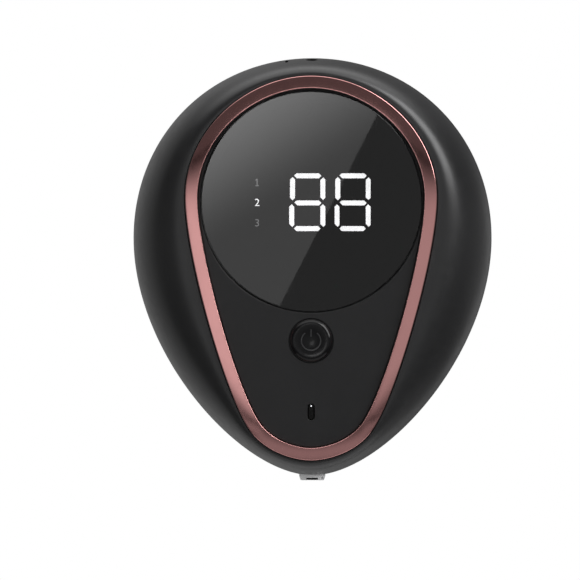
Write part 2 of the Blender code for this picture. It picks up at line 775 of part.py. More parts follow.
def rear_housing():
    """Bowl-shaped rear shell with the bracket pocket, screw bosses, lid opening and socket opening."""
    inner = bowl(WALL, BACK_ROUND, PARTING + REBATE_DEPTH, BACK - WALL, DOME_STEPS - 1)
    outer = bowl(0.0, BACK_ROUND, PARTING + GAP / 2, BACK, DOME_STEPS)
    sections = inner[::-1]
    sections += [(body(REBATE_WIDTH), PARTING + REBATE_DEPTH), (body(REBATE_WIDTH), PARTING + GAP / 2)]
    sections += outer
    made = loft("rear_housing", sections, CHARCOAL)
    within = BACK - WALL / 2
    half = BRACKET_HEAD_HALF + GAP
    join(
        made,
        block(
            "pocket_walls",
            (-half - POCKET_WALL, POCKET_FRONT - POCKET_WALL, POCKET_LOW - POCKET_WALL),
            (half + POCKET_WALL, within, POCKET_TOP + POCKET_WALL),
        ),
    )
    cut(
        made,
        block("pocket_inside", (-half, POCKET_FRONT, POCKET_LOW), (half, POCKET_LIP, POCKET_TOP)),
        block("pocket_mouth", (-half, POCKET_LIP - GAP, POCKET_LOW), (half, OVERRUN, POCKET_STEP)),
        block(
            "pocket_slot",
            (-BRACKET_STEM_HALF - GAP, POCKET_LIP - GAP, POCKET_STEP - GAP),
            (BRACKET_STEM_HALF + GAP, OVERRUN, POCKET_TOP),
        ),
    )
    head_floor = BACK - SCREW_HEAD_SUNK - SCREW_HEAD_THICK - GAP
    for number, (across, up) in enumerate(HOUSING_SCREWS, 1):
        wide = SCREW_HEAD_RADIUS + GAP
        collar_end = head_floor - COUNTERBORE_WALL
        boss_end = (across, collar_end + COUNTERBORE_WALL / 2, up)
        boss = rod(f"rear_boss_{number}", (across, PARTING + GAP / 2, up), boss_end, BOSS_RADIUS)
        collar = rod(
            f"rear_collar_{number}", (across, collar_end, up), (across, within, up), wide + COUNTERBORE_WALL
        )
        bore = rod(f"rear_bore_{number}", (across, PARTING - OVERRUN, up), (across, within, up), HOLE)
        counterbore = rod(f"rear_sink_{number}", (across, head_floor, up), (across, OVERRUN, up), wide)
        join(made, boss, collar)
        cut(made, bore, counterbore)
    lid_side = LID_HALF_WIDTH + GAP
    cut(
        made,
        block(
            "lid_opening",
            (-lid_side, LID_FRONT - GAP, LID_BOTTOM - WALL),
            (lid_side, LID_BACK + LID_BACK_GAP, CROWN_HEIGHT + OVERRUN),
        ),
        rod(
            "lid_pin_bore",
            (-lid_side - LID_PIN_REACH - GAP, LID_AXIS_DEPTH, LID_AXIS_HEIGHT),
            (lid_side + LID_PIN_REACH + GAP, LID_AXIS_DEPTH, LID_AXIS_HEIGHT),
            LID_BORE_RADIUS,
            sides=8,
        ),
        rod(
            "window_hole",
            (0.0, SENSOR_DEPTH_PLACE, SENSOR_WINDOW_TOP + GAP),
            (0.0, SENSOR_DEPTH_PLACE, -TOE_DEPTH - OVERRUN),
            SENSOR_WINDOW_RADIUS + GAP,
            sides=20,
        ),
    )
    add_charge_seat(made, within)
    rib_low = SENSOR_BOARD_TOP + GAP
    join(
        made,
        block(
            "sensor_rib",
            (-SENSOR_RIB_HALF, SENSOR_DEPTH_PLACE, rib_low),
            (SENSOR_RIB_HALF, within, rib_low + POCKET_WALL),
        ),
    )
    return made


SENSOR_LED_TOP = SENSOR_WINDOW_TOP + GAP + SENSOR_LED_LENGTH
SENSOR_BOARD_TOP = SENSOR_LED_TOP + GAP + SENSOR_BOARD_THICK
COVER_FLOOR = BACK - COVER_SUNK
SOCKET_BACK = BACK - SOCKET_SUNK - COVER_SUNK
CHARGE_BOARD_TOP = CHARGE_HEIGHT - SOCKET_HALF_HEIGHT - GAP


def add_charge_seat(made, within):
    """The recess of the charge cover, the socket opening and the shelf under the charge board."""
    shelf_top = CHARGE_BOARD_TOP - CHARGE_BOARD_THICK - GAP
    board_front = SOCKET_BACK - CHARGE_BOARD_DEPTH
    cover_reach = COVER_HALF_HEIGHT + GAP
    join(
        made,
        block(
            "charge_shelf",
            (-CHARGE_BOARD_HALF, board_front, shelf_top - POCKET_WALL),
            (CHARGE_BOARD_HALF, within, shelf_top),
        ),
    )
    cut(
        made,
        block(
            "cover_recess",
            (-COVER_HALF_WIDTH - 2 * GAP - COVER_THICK, COVER_FLOOR - GAP, CHARGE_HEIGHT - cover_reach),
            (COVER_HALF_WIDTH + GAP, OVERRUN, CHARGE_HEIGHT + cover_reach),
        ),
        block(
            "socket_opening",
            (-SOCKET_HALF_WIDTH - GAP, BACK - WALL - OVERRUN, CHARGE_HEIGHT - SOCKET_HALF_HEIGHT - GAP),
            (SOCKET_HALF_WIDTH + GAP, OVERRUN, CHARGE_HEIGHT + SOCKET_HALF_HEIGHT + GAP),
        ),
    )


def housing_gasket():
    """Flat cord seal that lies in the rebate between the two housings."""
    near = PARTING - REBATE_DEPTH + GAP
    far = PARTING + REBATE_DEPTH - GAP
    outer = body(REBATE_WIDTH + GAP)
    inner = body(WALL)
    return loft(
        "housing_gasket", [(inner, near), (inner, far), (outer, far), (outer, near)], SILICONE, endless=True
    )


def trim_ring():
    """Rose-gold band with a crowned front, set in the recess of the front housing."""
    middle = BAND / 2
    profile = (
        (0.0, PANEL_BACK),
        (0.0, FRONT + BAND_SHOULDER),
        (BAND_EDGE, FRONT + BAND_SHOULDER / 4),
        (middle, FRONT),
        (BAND - BAND_EDGE, FRONT + BAND_SHOULDER / 4),
        (BAND, FRONT + BAND_SHOULDER),
        (BAND, PANEL_BACK),
    )
    return loft("trim_ring", [(ring(inset), depth) for inset, depth in profile], ROSE_GOLD, endless=True)


def front_panel():
    """Flat panel inside the ring, with a stepped seat for the lens, the button hole and the light slot."""
    made = sheet("front_panel", ring(BAND + GAP), PANEL_FRONT, PANEL_BACK, PANEL_BLACK)
    lens_floor = PANEL_FRONT + LENS_THICK + GAP
    front = FRONT - OVERRUN
    back = PANEL_BACK + OVERRUN
    ledge = LENS_RADIUS + GAP - LENS_LEDGE
    cut(
        made,
        rod(
            "lens_seat",
            (0.0, lens_floor, LENS_HEIGHT),
            (0.0, front, LENS_HEIGHT),
            LENS_RADIUS + GAP,
            sides=64,
        ),
        rod("lens_through", (0.0, back, LENS_HEIGHT), (0.0, front, LENS_HEIGHT), ledge, sides=48),
        rod(
            "button_hole",
            (0.0, back, BUTTON_HEIGHT),
            (0.0, front, BUTTON_HEIGHT),
            BUTTON_RADIUS + BUTTON_CLEARANCE,
            sides=32,
        ),
        sheet("slot_hole", slot_points(0.0, SLOT_PLACE, SLOT_WIDTH, SLOT_HEIGHT), front, back),
    )
    return made


def display_lens():
    """Flat smoked disc with a finely broken edge, seated in the panel."""
    profile = (
        (0.0, 0.0),
        (LENS_RADIUS - LENS_BEVEL, 0.0),
        (LENS_RADIUS, -LENS_BEVEL),
        (LENS_RADIUS, -LENS_THICK),
        (0.0, -LENS_THICK),
    )
    made = turned("display_lens", profile, (0.0, PANEL_FRONT, LENS_HEIGHT), "Y", SMOKED, steps=64)
    made.rotation_euler = (math.pi / 2, 0.0, 0.0)
    return made


def segment(across, up, length, thick, upright):
    """A bar with pointed ends."""
    tip = length / 2
    shoulder = tip - thick / 2
    bar = np.array(
        [
            (-tip, 0.0),
            (-shoulder, -thick / 2),
            (shoulder, -thick / 2),
            (tip, 0.0),
            (shoulder, thick / 2),
            (-shoulder, thick / 2),
        ]
    )
    if upright:
        bar = bar[:, ::-1] * [-1.0, 1.0]
    return bar + [across, up]


def digit_segments(place, grow):
    """The seven bars of one digit, each grown by a clearance."""
    side = DIGIT_WIDTH / 2 - SEGMENT_THICK / 2
    high = DIGIT_HEIGHT / 2 - SEGMENT_THICK / 2
    spread = 2 * math.sqrt(2) * grow
    flat = 2 * (side - SEGMENT_GAP) + spread
    tall = high - 2 * SEGMENT_GAP + spread
    thick = SEGMENT_THICK + 2 * grow
    bars = [segment(place, DIGIT_HEIGHT_PLACE + level, flat, thick, False) for level in (high, 0.0, -high)]
    for across in (-side, side):
        for level in (high / 2, -high / 2):
            bars.append(segment(place + across, DIGIT_HEIGHT_PLACE + level, tall, thick, True))
    return bars


def level_bars(grow):
    """The three small windows of the level numbers."""
    bars = []
    for step in (-1, 0, 1):
        up = DIGIT_HEIGHT_PLACE + step * LEVEL_PITCH
        half = LEVEL_WIDTH / 2 + grow
        rise = LEVEL_HEIGHT / 2 + grow
        corners = ((-half, -rise), (half, -rise), (half, rise), (-half, rise))
        bars.append(np.array([(LEVEL_PLACE + across, up + climb) for across, climb in corners]))
    return bars


MASK_FRONT = PANEL_FRONT + LENS_THICK + GAP
GUIDE_BACK = BOARD_FRONT - GAP
GUIDE_STEP = GUIDE_BACK - GUIDE_BACKING
MASK_BACK = GUIDE_STEP - GAP


def digit_mask():
    """Black block that keeps the light of each bar apart."""
    left = LEVEL_PLACE - LEVEL_WIDTH / 2 - MASK_BORDER
    right = UNITS_PLACE + DIGIT_WIDTH / 2 + MASK_BORDER
    half = DIGIT_HEIGHT / 2 + MASK_BORDER
    made = block(
        "digit_mask",
        (left, MASK_FRONT, DIGIT_HEIGHT_PLACE - half),
        (right, MASK_BACK, DIGIT_HEIGHT_PLACE + half),
        PANEL_BLACK,
    )
    windows = digit_segments(TENS_PLACE, GUIDE_CLEARANCE)
    windows += digit_segments(UNITS_PLACE, GUIDE_CLEARANCE)
    windows += level_bars(GUIDE_CLEARANCE)
    for number, points in enumerate(windows, 1):
        cut(made, sheet(f"mask_window_{number}", points, MASK_FRONT - OVERRUN, MASK_BACK + OVERRUN))
    return made


def light_guide(name, bars, low, high):
    """Clear bars that stand on a common backing."""
    made = block(name, (low[0], GUIDE_STEP, low[1]), (high[0], GUIDE_BACK, high[1]), LIGHT_GUIDE)
    for number, points in enumerate(bars, 1):
        join(made, sheet(f"{name}_bar_{number}", points, MASK_FRONT + GAP, GUIDE_STEP + GUIDE_BACKING / 2))
    return made


def digit_guides():
    half = DIGIT_WIDTH / 2
    rise = DIGIT_HEIGHT / 2
    low_up = DIGIT_HEIGHT_PLACE - rise
    high_up = DIGIT_HEIGHT_PLACE + rise
    for name, place in (("tens_digit_guide", TENS_PLACE), ("units_digit_guide", UNITS_PLACE)):
        light_guide(name, digit_segments(place, 0.0), (place - half, low_up), (place + half, high_up))
    reach = LEVEL_PITCH + LEVEL_HEIGHT / 2
    light_guide(
        "level_light_guide",
        level_bars(0.0),
        (LEVEL_PLACE - LEVEL_WIDTH / 2, DIGIT_HEIGHT_PLACE - reach),
        (LEVEL_PLACE + LEVEL_WIDTH / 2, DIGIT_HEIGHT_PLACE + reach),
    )


def main_board():
    """Circuit board that fills the panel's outline, held by two screws."""
    made = sheet("main_board", ring(BAND + BOARD_INSET), BOARD_FRONT, BOARD_BACK, BOARD_GREEN)
    for number, up in enumerate(BOARD_SCREW_HEIGHTS, 1):
        front = (0.0, BOARD_FRONT - OVERRUN, up)
        back = (0.0, BOARD_BACK + OVERRUN, up)
        cut(made, rod(f"board_hole_{number}", front, back, SMALL_HOLE, sides=SCREW_SIDES))
    half = CHIP_SIDE / 2
    block(
        "controller_chip",
        (-half, GUIDE_BACK - CHIP_THICK, CHIP_HEIGHT - half),
        (half, GUIDE_BACK, CHIP_HEIGHT + half),
        GLOSS_BLACK,
        edge=GAP / 2,
    )
    return made


FLANGE_FACE = PANEL_BACK + GAP
CAP_BACK = FLANGE_FACE + BUTTON_FLANGE_THICK
PLUNGER_FRONT = CAP_BACK + GAP
SWITCH_FRONT = GUIDE_BACK - SWITCH_THICK


def power_button():
    """Domed cap held behind the panel by its flange, the switch under it and the return seal round that."""
    top = PANEL_FRONT - BUTTON_PROUD
    profile = [
        (BUTTON_RADIUS * math.sin(turn), -top - BUTTON_DOME * (1 - math.cos(turn)) + BUTTON_DOME)
        for turn in np.linspace(0.0, math.pi / 2, 5)
    ]
    flange = BUTTON_RADIUS + BUTTON_FLANGE
    profile += [
        (BUTTON_RADIUS, -FLANGE_FACE),
        (flange, -FLANGE_FACE),
        (flange, -CAP_BACK),
        (0.0, -CAP_BACK),
    ]
    cap = turned("button_cap", profile, (0.0, 0.0, BUTTON_HEIGHT), "Y", GLOSS_BLACK, steps=32)
    cap.rotation_euler = (math.pi / 2, 0.0, 0.0)
    half = SWITCH_SIDE / 2
    switch = block(
        "tact_switch",
        (-half, SWITCH_FRONT, BUTTON_HEIGHT - half),
        (half, GUIDE_BACK, BUTTON_HEIGHT + half),
        GREY_PLASTIC,
    )
    plunger_back = PLUNGER_FRONT + PLUNGER_LENGTH
    well = rod(
        "plunger_well",
        (0.0, SWITCH_FRONT - OVERRUN, BUTTON_HEIGHT),
        (0.0, plunger_back + PLUNGER_WELL, BUTTON_HEIGHT),
        PLUNGER_RADIUS + GAP,
    )
    cut(switch, well)
    rod(
        "switch_plunger",
        (0.0, PLUNGER_FRONT, BUTTON_HEIGHT),
        (0.0, plunger_back, BUTTON_HEIGHT),
        PLUNGER_RADIUS,
        GLOSS_BLACK,
        sides=12,
    )
    seal_front = CAP_BACK + PLUNGER_WELL
    wide = flange - GAP
    ring_profile = (
        (wide - SEAL_RING_WIDTH, -GUIDE_BACK),
        (wide - SEAL_RING_WIDTH, -seal_front),
        (wide, -seal_front),
        (wide, -GUIDE_BACK),
    )
    centre = (0.0, 0.0, BUTTON_HEIGHT)
    seal = turned("button_seal", ring_profile, centre, "Y", SILICONE, steps=24, hollow=True)
    seal.rotation_euler = (math.pi / 2, 0.0, 0.0)


def status_light():
    """Slot-shaped light guide in the panel, and the small lamp behind it."""
    led_front = GUIDE_BACK - STATUS_LED_THICK
    outline = slot_points(0.0, SLOT_PLACE, SLOT_WIDTH - 2 * GAP, SLOT_HEIGHT - 2 * GAP)
    sheet("status_light_guide", outline, PANEL_FRONT, led_front - GAP, GLOSS_BLACK)
    half = SLOT_WIDTH / 2
    block(
        "status_led",
        (-half, led_front, SLOT_PLACE - half),
        (half, GUIDE_BACK, SLOT_PLACE + half),
        LIGHT_GUIDE,
    )


CRADLE_SIDE = CELL_LENGTH / 3
TANK_SEAT_HALF = TANK_HALF_WIDTH / 2


def inner_frame():
    """Carrier plate between the board and the works, with cradles for the battery and the pump."""
    made = sheet("inner_frame", ring(FRAME_INSET), FRAME_FRONT, FRAME_BACK, GREY_PLASTIC)
    root = FRAME_BACK - FRAME_THICK / 2
    cradle_low = CELL_HEIGHT - CELL_RADIUS - FRAME_RIB / 2
    cradle_high = TANK_FLOOR - GAP
    pump_back = PUMP_DEPTH_PLACE - MOTOR_RADIUS / 4
    pump_half = MOTOR_RADIUS * 3 / 4
    for number, across in enumerate((-CRADLE_SIDE, CRADLE_SIDE), 1):
        low = (across - FRAME_RIB / 2, root, cradle_low)
        high = (across + FRAME_RIB / 2, CELL_DEPTH_PLACE + CELL_RADIUS / 3, cradle_high)
        join(made, block(f"cell_cradle_{number}", low, high))
    for number, across in enumerate((MOTOR_START * 3 / 4, MOTOR_START / 5), 1):
        low = (across - FRAME_RIB / 2, root, PUMP_HEIGHT - pump_half)
        high = (across + FRAME_RIB / 2, pump_back, PUMP_HEIGHT + pump_half)
        join(made, block(f"motor_cradle_{number}", low, high))
    for number, (low_up, high_up) in enumerate(
        ((TANK_FLOOR / 2, TANK_FLOOR / 2 + FRAME_RIB), (TANK_TOP * 3 / 4, TANK_TOP * 3 / 4 + FRAME_RIB)), 1
    ):
        low = (-TANK_SEAT_HALF, root, low_up)
        high = (TANK_SEAT_HALF, TANK_FRONT - GAP, high_up)
        join(made, block(f"tank_seat_{number}", low, high))
    reach = CELL_LENGTH / 2 + OVERRUN
    cut(
        made,
        rod(
            "cell_space",
            (-reach, CELL_DEPTH_PLACE, CELL_HEIGHT),
            (reach, CELL_DEPTH_PLACE, CELL_HEIGHT),
            CELL_RADIUS + GAP,
            sides=24,
        ),
        rod(
            "motor_space",
            (MOTOR_START - OVERRUN, PUMP_DEPTH_PLACE, PUMP_HEIGHT),
            (MOTOR_END + OVERRUN, PUMP_DEPTH_PLACE, PUMP_HEIGHT),
            MOTOR_RADIUS + GAP,
            sides=24,
        ),
        block(
            "frame_window",
            (-FRAME_WINDOW_HALF, FRAME_FRONT - OVERRUN, FRAME_WINDOW_LOW),
            (FRAME_WINDOW_HALF, FRAME_BACK + OVERRUN, FRAME_WINDOW_HIGH),
        ),
    )
    for number, (across, up) in enumerate(HOUSING_SCREWS, 1):
        front = (across, FRAME_FRONT - OVERRUN, up)
        back = (across, FRAME_BACK + OVERRUN, up)
        cut(made, rod(f"boss_notch_{number}", front, back, BOSS_RADIUS + 2 * GAP))
    for number, (across, up) in enumerate(FRAME_POSTS, 1):
        front = (across, FRAME_FRONT - OVERRUN, up)
        back = (across, FRAME_BACK + OVERRUN, up)
        cut(made, rod(f"frame_hole_{number}", front, back, SMALL_HOLE, sides=SCREW_SIDES))
    for number, up in enumerate(BOARD_SCREW_HEIGHTS, 1):
        post = rod(
            f"board_post_{number}", (0.0, BOARD_BACK + GAP, up), (0.0, root, up), FRAME_POST_RADIUS, sides=12
        )
        hole = rod(
            f"board_bore_{number}",
            (0.0, BOARD_BACK, up),
            (0.0, FRAME_BACK + OVERRUN, up),
            SMALL_HOLE,
            sides=SCREW_SIDES,
        )
        join(made, post)
        cut(made, hole)
    return made


def screw(name, across, up, head, forward, radius, head_radius, head_thick, length):
    """A pan-head screw along Y. The head's bearing face is at the given depth."""
    edge = head_thick / 4
    slot = head_radius / 3
    profile = (
        (0.0, head_thick / 2),
        (slot, head_thick / 2),
        (slot + edge, head_thick),
        (head_radius - edge, head_thick),
        (head_radius, head_thick / 2),
        (head_radius, 0.0),
        (radius, 0.0),
        (radius, -length),
        (0.0, -length),
    )
    made = turned(name, profile, (across, head, up), "Y", STEEL, steps=SCREW_SIDES)
    if not forward:
        made.rotation_euler = (math.pi / 2, 0.0, 0.0)
    return made


def screws():
    seat = BACK - SCREW_HEAD_SUNK - SCREW_HEAD_THICK
    for number, (across, up) in enumerate(HOUSING_SCREWS, 1):
        screw(
            f"housing_screw_{number}",
            across,
            up,
            seat,
            True,
            SCREW_RADIUS,
            SCREW_HEAD_RADIUS,
            SCREW_HEAD_THICK,
            SCREW_LENGTH,
        )
    small = (SMALL_SCREW_RADIUS, SMALL_HEAD_RADIUS, SMALL_HEAD_THICK, SMALL_SCREW_LENGTH)
    for number, (across, up) in enumerate(FRAME_POSTS[2:], 1):
        screw(f"frame_screw_{number}", across, up, FRAME_BACK + GAP, True, *small)
    short = (*small[:-1], SMALL_SCREW_LENGTH - FRAME_THICK)
    for number, up in enumerate(BOARD_SCREW_HEIGHTS, 1):
        screw(f"board_screw_{number}", 0.0, up, BOARD_FRONT - GAP, False, *short)


def battery():
    """Cylindrical cell across the housing, with a contact tab at each end."""
    half = CELL_LENGTH / 2
    edge = CELL_TERMINAL
    profile = (
        (0.0, half),
        (CELL_TERMINAL_RADIUS, half),
        (CELL_TERMINAL_RADIUS, half - CELL_TERMINAL),
        (CELL_RADIUS - edge, half - CELL_TERMINAL),
        (CELL_RADIUS, half - CELL_TERMINAL - edge),
        (CELL_RADIUS, -half + edge),
        (CELL_RADIUS - edge, -half),
        (0.0, -half),
    )
    turned("battery_cell", profile, (0.0, CELL_DEPTH_PLACE, CELL_HEIGHT), "X", CELL_WRAP, steps=24)
    side = CONTACT_SIDE / 2
    for name, start in (
        ("battery_contact_right", half + GAP),
        ("battery_contact_left", -half - GAP - CONTACT_THICK),
    ):
        block(
            name,
            (start, CELL_DEPTH_PLACE - side, CELL_HEIGHT - side),
            (start + CONTACT_THICK, CELL_DEPTH_PLACE + side, CELL_HEIGHT + side),
            STEEL,
        )


TANK_BACK = POCKET_FRONT - POCKET_WALL - GAP
TANK_MIDDLE = (TANK_TOP + TANK_FLOOR) / 2
TANK_HALF_HEIGHT = (TANK_TOP - TANK_FLOOR) / 2
TANK_POINTS = 36


def tank_outline(inset):
    """A superellipse: across and up to the tank's power add up to one."""
    turn = np.linspace(0.0, 2 * math.pi, TANK_POINTS, endpoint=False)
    power = 2 / TANK_POWER_SHARE
    across = np.sign(np.sin(turn)) * np.abs(np.sin(turn)) ** power
    up = np.sign(np.cos(turn)) * np.abs(np.cos(turn)) ** power
    return np.stack(
        [across * (TANK_HALF_WIDTH - inset), TANK_MIDDLE + up * (TANK_HALF_HEIGHT - inset)], axis=1
    )


def tank_body(name, inset, finish=None):
    """A flat-sided tank with rounded edges at its front and back."""
    front = TANK_FRONT + inset
    back = TANK_BACK - inset
    edge = TANK_EDGE
    sections = [
        (tank_outline(inset + edge), front),
        (tank_outline(inset + edge / 4), front + edge / 4),
        (tank_outline(inset), front + edge),
        (tank_outline(inset), back - edge),
        (tank_outline(inset + edge / 4), back - edge / 4),
        (tank_outline(inset + edge), back),
    ]
    return loft(name, sections, finish)


def soap_tank():
    """Blow-moulded tank with a filler neck above and a spigot below."""
    made = tank_body("soap_tank", 0.0, CLEAR_TANK)
    inside_top = TANK_TOP - TANK_EDGE
    inside_floor = TANK_FLOOR + TANK_EDGE
    neck = (0.0, NECK_DEPTH_PLACE)
    spigot = (INLET_SIDE, INLET_DEPTH_PLACE)
    foot = TANK_FLOOR - SPIGOT_LENGTH
    join(
        made,
        rod("tank_neck", (*neck, inside_top), (*neck, NECK_TOP), NECK_RADIUS, sides=24),
        rod("tank_spigot", (*spigot, TANK_FLOOR + TANK_WALL / 2), (*spigot, foot), SPIGOT_RADIUS, sides=12),
    )
    cut(
        made,
        tank_body("tank_inside", TANK_WALL),
        rod(
            "tank_neck_bore",
            (*neck, inside_top - TANK_EDGE),
            (*neck, NECK_TOP + OVERRUN),
            NECK_BORE,
            sides=24,
        ),
        rod("tank_spigot_bore", (*spigot, inside_floor), (*spigot, foot - OVERRUN), SPIGOT_BORE, sides=12),
    )
    return made


INLET_TOP = PUMP_HEIGHT + PUMP_RADIUS + SPIGOT_LENGTH / 2


def soap_tube():
    """Soft tube from the tank's spigot down to the pump head."""
    top = TANK_FLOOR - GAP
    low = INLET_TOP - SPIGOT_LENGTH
    profile = ((TUBE_BORE, low), (TUBE_BORE, top), (TUBE_RADIUS, top), (TUBE_RADIUS, low))
    turned("soap_tube", profile, (INLET_SIDE, INLET_DEPTH_PLACE, 0.0), "Z", SILICONE, steps=16, hollow=True)


def on_axis(along, radius=0.0, turn=0.0):
    """A point at a distance along the pump's axis, out from it at an angle."""
    return (along, PUMP_DEPTH_PLACE + radius * math.sin(turn), PUMP_HEIGHT + radius * math.cos(turn))


def pump_turned(name, profile, finish, steps=24, hollow=False):
    return turned(name, profile, on_axis(0.0), "X", finish, steps=steps, hollow=hollow)


CUP_TURNS = [2 * math.pi * number / CUP_COUNT for number in range(CUP_COUNT)]
DIAPHRAGM_START = BASE_END + GAP
DIAPHRAGM_END = DIAPHRAGM_START + DIAPHRAGM_THICK
VALVE_START = DIAPHRAGM_END + GAP
VALVE_END = VALVE_START + VALVE_THICK
HEAD_START = VALVE_END + GAP
HEAD_END = HEAD_START + HEAD_THICK


def pump():
    """Motor and three-cup diaphragm pump: an inclined pin makes the swing frame wobble."""
    motor_edge = MOTOR_BOSS / 2
    motor = pump_turned(
        "pump_motor",
        (
            (0.0, MOTOR_END),
            (MOTOR_RADIUS - motor_edge, MOTOR_END),
            (MOTOR_RADIUS, MOTOR_END - motor_edge),
            (MOTOR_RADIUS, MOTOR_START + MOTOR_BOSS + motor_edge),
            (MOTOR_RADIUS - motor_edge, MOTOR_START + MOTOR_BOSS),
            (MOTOR_BOSS_RADIUS, MOTOR_START + MOTOR_BOSS),
            (MOTOR_BOSS_RADIUS, MOTOR_START),
            (0.0, MOTOR_START),
        ),
        STEEL,
    )
    shaft_hole = SHAFT_RADIUS + GAP
    cut(
        motor,
        rod("shaft_bore", on_axis(SHAFT_START - GAP), on_axis(MOTOR_END + OVERRUN), shaft_hole, sides=12),
    )
    floor = MOTOR_END + GAP
    inside = PUMP_RADIUS - PUMP_WALL
    pump_turned(
        "pump_base",
        (
            (PUMP_RADIUS, BASE_END),
            (PUMP_RADIUS, floor),
            (MOTOR_BOSS_RADIUS, floor),
            (MOTOR_BOSS_RADIUS, floor + PUMP_WALL - GAP),
            (inside, floor + PUMP_WALL - GAP),
            (inside, BASE_END),
        ),
        GREY_PLASTIC,
        hollow=True,
    )
    rod("motor_shaft", on_axis(SHAFT_START), on_axis(SHAFT_END), SHAFT_RADIUS, STEEL, sides=12)
    wheel = pump_turned(
        "eccentric_wheel",
        (
            (WHEEL_RADIUS, WHEEL_END),
            (WHEEL_RADIUS, WHEEL_START),
            (shaft_hole, WHEEL_START),
            (shaft_hole, WHEEL_END),
        ),
        STEEL,
        steps=20,
        hollow=True,
    )
    pin_start = (WHEEL_START + WHEEL_END) / 2
    reach = PIN_APEX - pin_start
    pin_foot = Vector(on_axis(pin_start, PIN_OFFSET))
    pin_tip = Vector(on_axis(PIN_END, PIN_OFFSET * (PIN_APEX - PIN_END) / reach))
    lean = (pin_tip - pin_foot).normalized()
    rod("drive_pin", pin_foot, pin_tip, PIN_RADIUS, STEEL, sides=10)
    cut(
        wheel,
        rod("pin_hole", pin_foot - lean * GAP, pin_tip, PIN_RADIUS + GAP, sides=10),
    )
    swing_end = SWING_START + SWING_THICK
    swing = pump_turned(
        "swing_frame",
        (
            (SWING_HUB, swing_end),
            (SWING_HUB, SWING_START),
            (SWING_BORE, SWING_START),
            (SWING_BORE, swing_end),
        ),
        GREY_PLASTIC,
        steps=20,
        hollow=True,
    )
    diaphragm = pump_turned(
        "diaphragm",
        (
            (0.0, DIAPHRAGM_END),
            (PUMP_RADIUS, DIAPHRAGM_END),
            (PUMP_RADIUS, DIAPHRAGM_START),
            (0.0, DIAPHRAGM_START),
        ),
        SILICONE,
    )
    valve = pump_turned(
        "valve_plate",
        ((0.0, VALVE_END), (PUMP_RADIUS, VALVE_END), (PUMP_RADIUS, VALVE_START), (0.0, VALVE_START)),
        GREY_PLASTIC,
    )
    within = DIAPHRAGM_START + DIAPHRAGM_THICK / 2
    cup_low = swing_end + GAP
    for number, turn in enumerate(CUP_TURNS, 1):
        paddle = rod(
            f"paddle_{number}",
            on_axis(SWING_START, CUP_CIRCLE, turn),
            on_axis(swing_end, CUP_CIRCLE, turn),
            PADDLE_RADIUS,
            sides=12,
        )
        join(swing, paddle)
        hole = rod(
            f"foot_hole_{number}",
            on_axis(SWING_START - OVERRUN, CUP_CIRCLE, turn),
            on_axis(swing_end + OVERRUN, CUP_CIRCLE, turn),
            FOOT_HOLE,
            sides=10,
        )
        cut(swing, hole)
        cup = rod(
            f"cup_{number}",
            on_axis(cup_low, CUP_CIRCLE, turn),
            on_axis(within, CUP_CIRCLE, turn),
            CUP_RADIUS * 3 / 4,
            sides=14,
            end_radius=CUP_RADIUS,
        )
        foot = rod(
            f"foot_{number}",
            on_axis(FOOT_START, CUP_CIRCLE, turn),
            on_axis(within, CUP_CIRCLE, turn),
            FOOT_RADIUS,
            sides=8,
        )
        cavity = rod(
            f"cup_inside_{number}",
            on_axis(cup_low + DIAPHRAGM_THICK, CUP_CIRCLE, turn),
            on_axis(DIAPHRAGM_END + OVERRUN, CUP_CIRCLE, turn),
            CUP_RADIUS / 2,
            sides=14,
            end_radius=CUP_RADIUS * 3 / 4,
        )
        join(diaphragm, cup, foot)
        cut(diaphragm, cavity)
        for share in PORT_SHARES:
            port = rod(
                f"port_{number}_{share}",
                on_axis(VALVE_START - OVERRUN, CUP_CIRCLE * share, turn),
                on_axis(VALVE_END + OVERRUN, CUP_CIRCLE * share, turn),
                VALVE_HOLE,
                sides=8,
            )
            cut(valve, port)
    pump_head()


def pump_head():
    """End cap with its manifold ring, the soap inlet at the back and the foam outlet on the axis."""
    edge = PUMP_WALL / 2
    made = pump_turned(
        "pump_head",
        (
            (0.0, HEAD_END),
            (PUMP_RADIUS - 2 * edge, HEAD_END),
            (PUMP_RADIUS, HEAD_END - 2 * edge),
            (PUMP_RADIUS, HEAD_START),
            (PUMP_RADIUS - PUMP_WALL, HEAD_START),
            (PUMP_RADIUS - PUMP_WALL, HEAD_START + HEAD_THICK / 3),
            (0.0, HEAD_START + HEAD_THICK / 3),
        ),
        GREY_PLASTIC,
    )
    inlet = (INLET_SIDE, INLET_DEPTH_PLACE)
    floor = HEAD_START + HEAD_THICK / 2
    join(
        made,
        rod("inlet_pipe", (*inlet, PUMP_HEIGHT), (*inlet, INLET_TOP), SPIGOT_RADIUS, sides=12),
        rod("outlet_pipe", on_axis(floor), on_axis(HEAD_END + OUTLET_LENGTH), SPIGOT_RADIUS, sides=12),
    )
    cut(
        made,
        rod(
            "inlet_bore",
            (*inlet, PUMP_HEIGHT + SPIGOT_RADIUS),
            (*inlet, INLET_TOP + OVERRUN),
            SPIGOT_BORE,
            sides=12,
        ),
        rod(
            "outlet_bore",
            on_axis(HEAD_START),
            on_axis(HEAD_END + OUTLET_LENGTH + OVERRUN),
            SPIGOT_BORE,
            sides=12,
        ),
    )


def smooth_route(points, count):
    """A Catmull-Rom curve through the route's points, read at even steps."""
    ends = [2 * points[0] - points[1]] + list(points) + [2 * points[-1] - points[-2]]
    ends = np.array(ends)
    along = np.linspace(0.0, len(points) - 1, count)
    index = np.minimum(along.astype(int), len(points) - 2)
    t = (along - index)[:, None]
    a, b, c, d = (ends[index + shift] for shift in range(4))
    return 0.5 * (2 * b + (c - a) * t + (2 * a - 5 * b + 4 * c - d) * t**2 + (3 * b - a - 3 * c + d) * t**3)


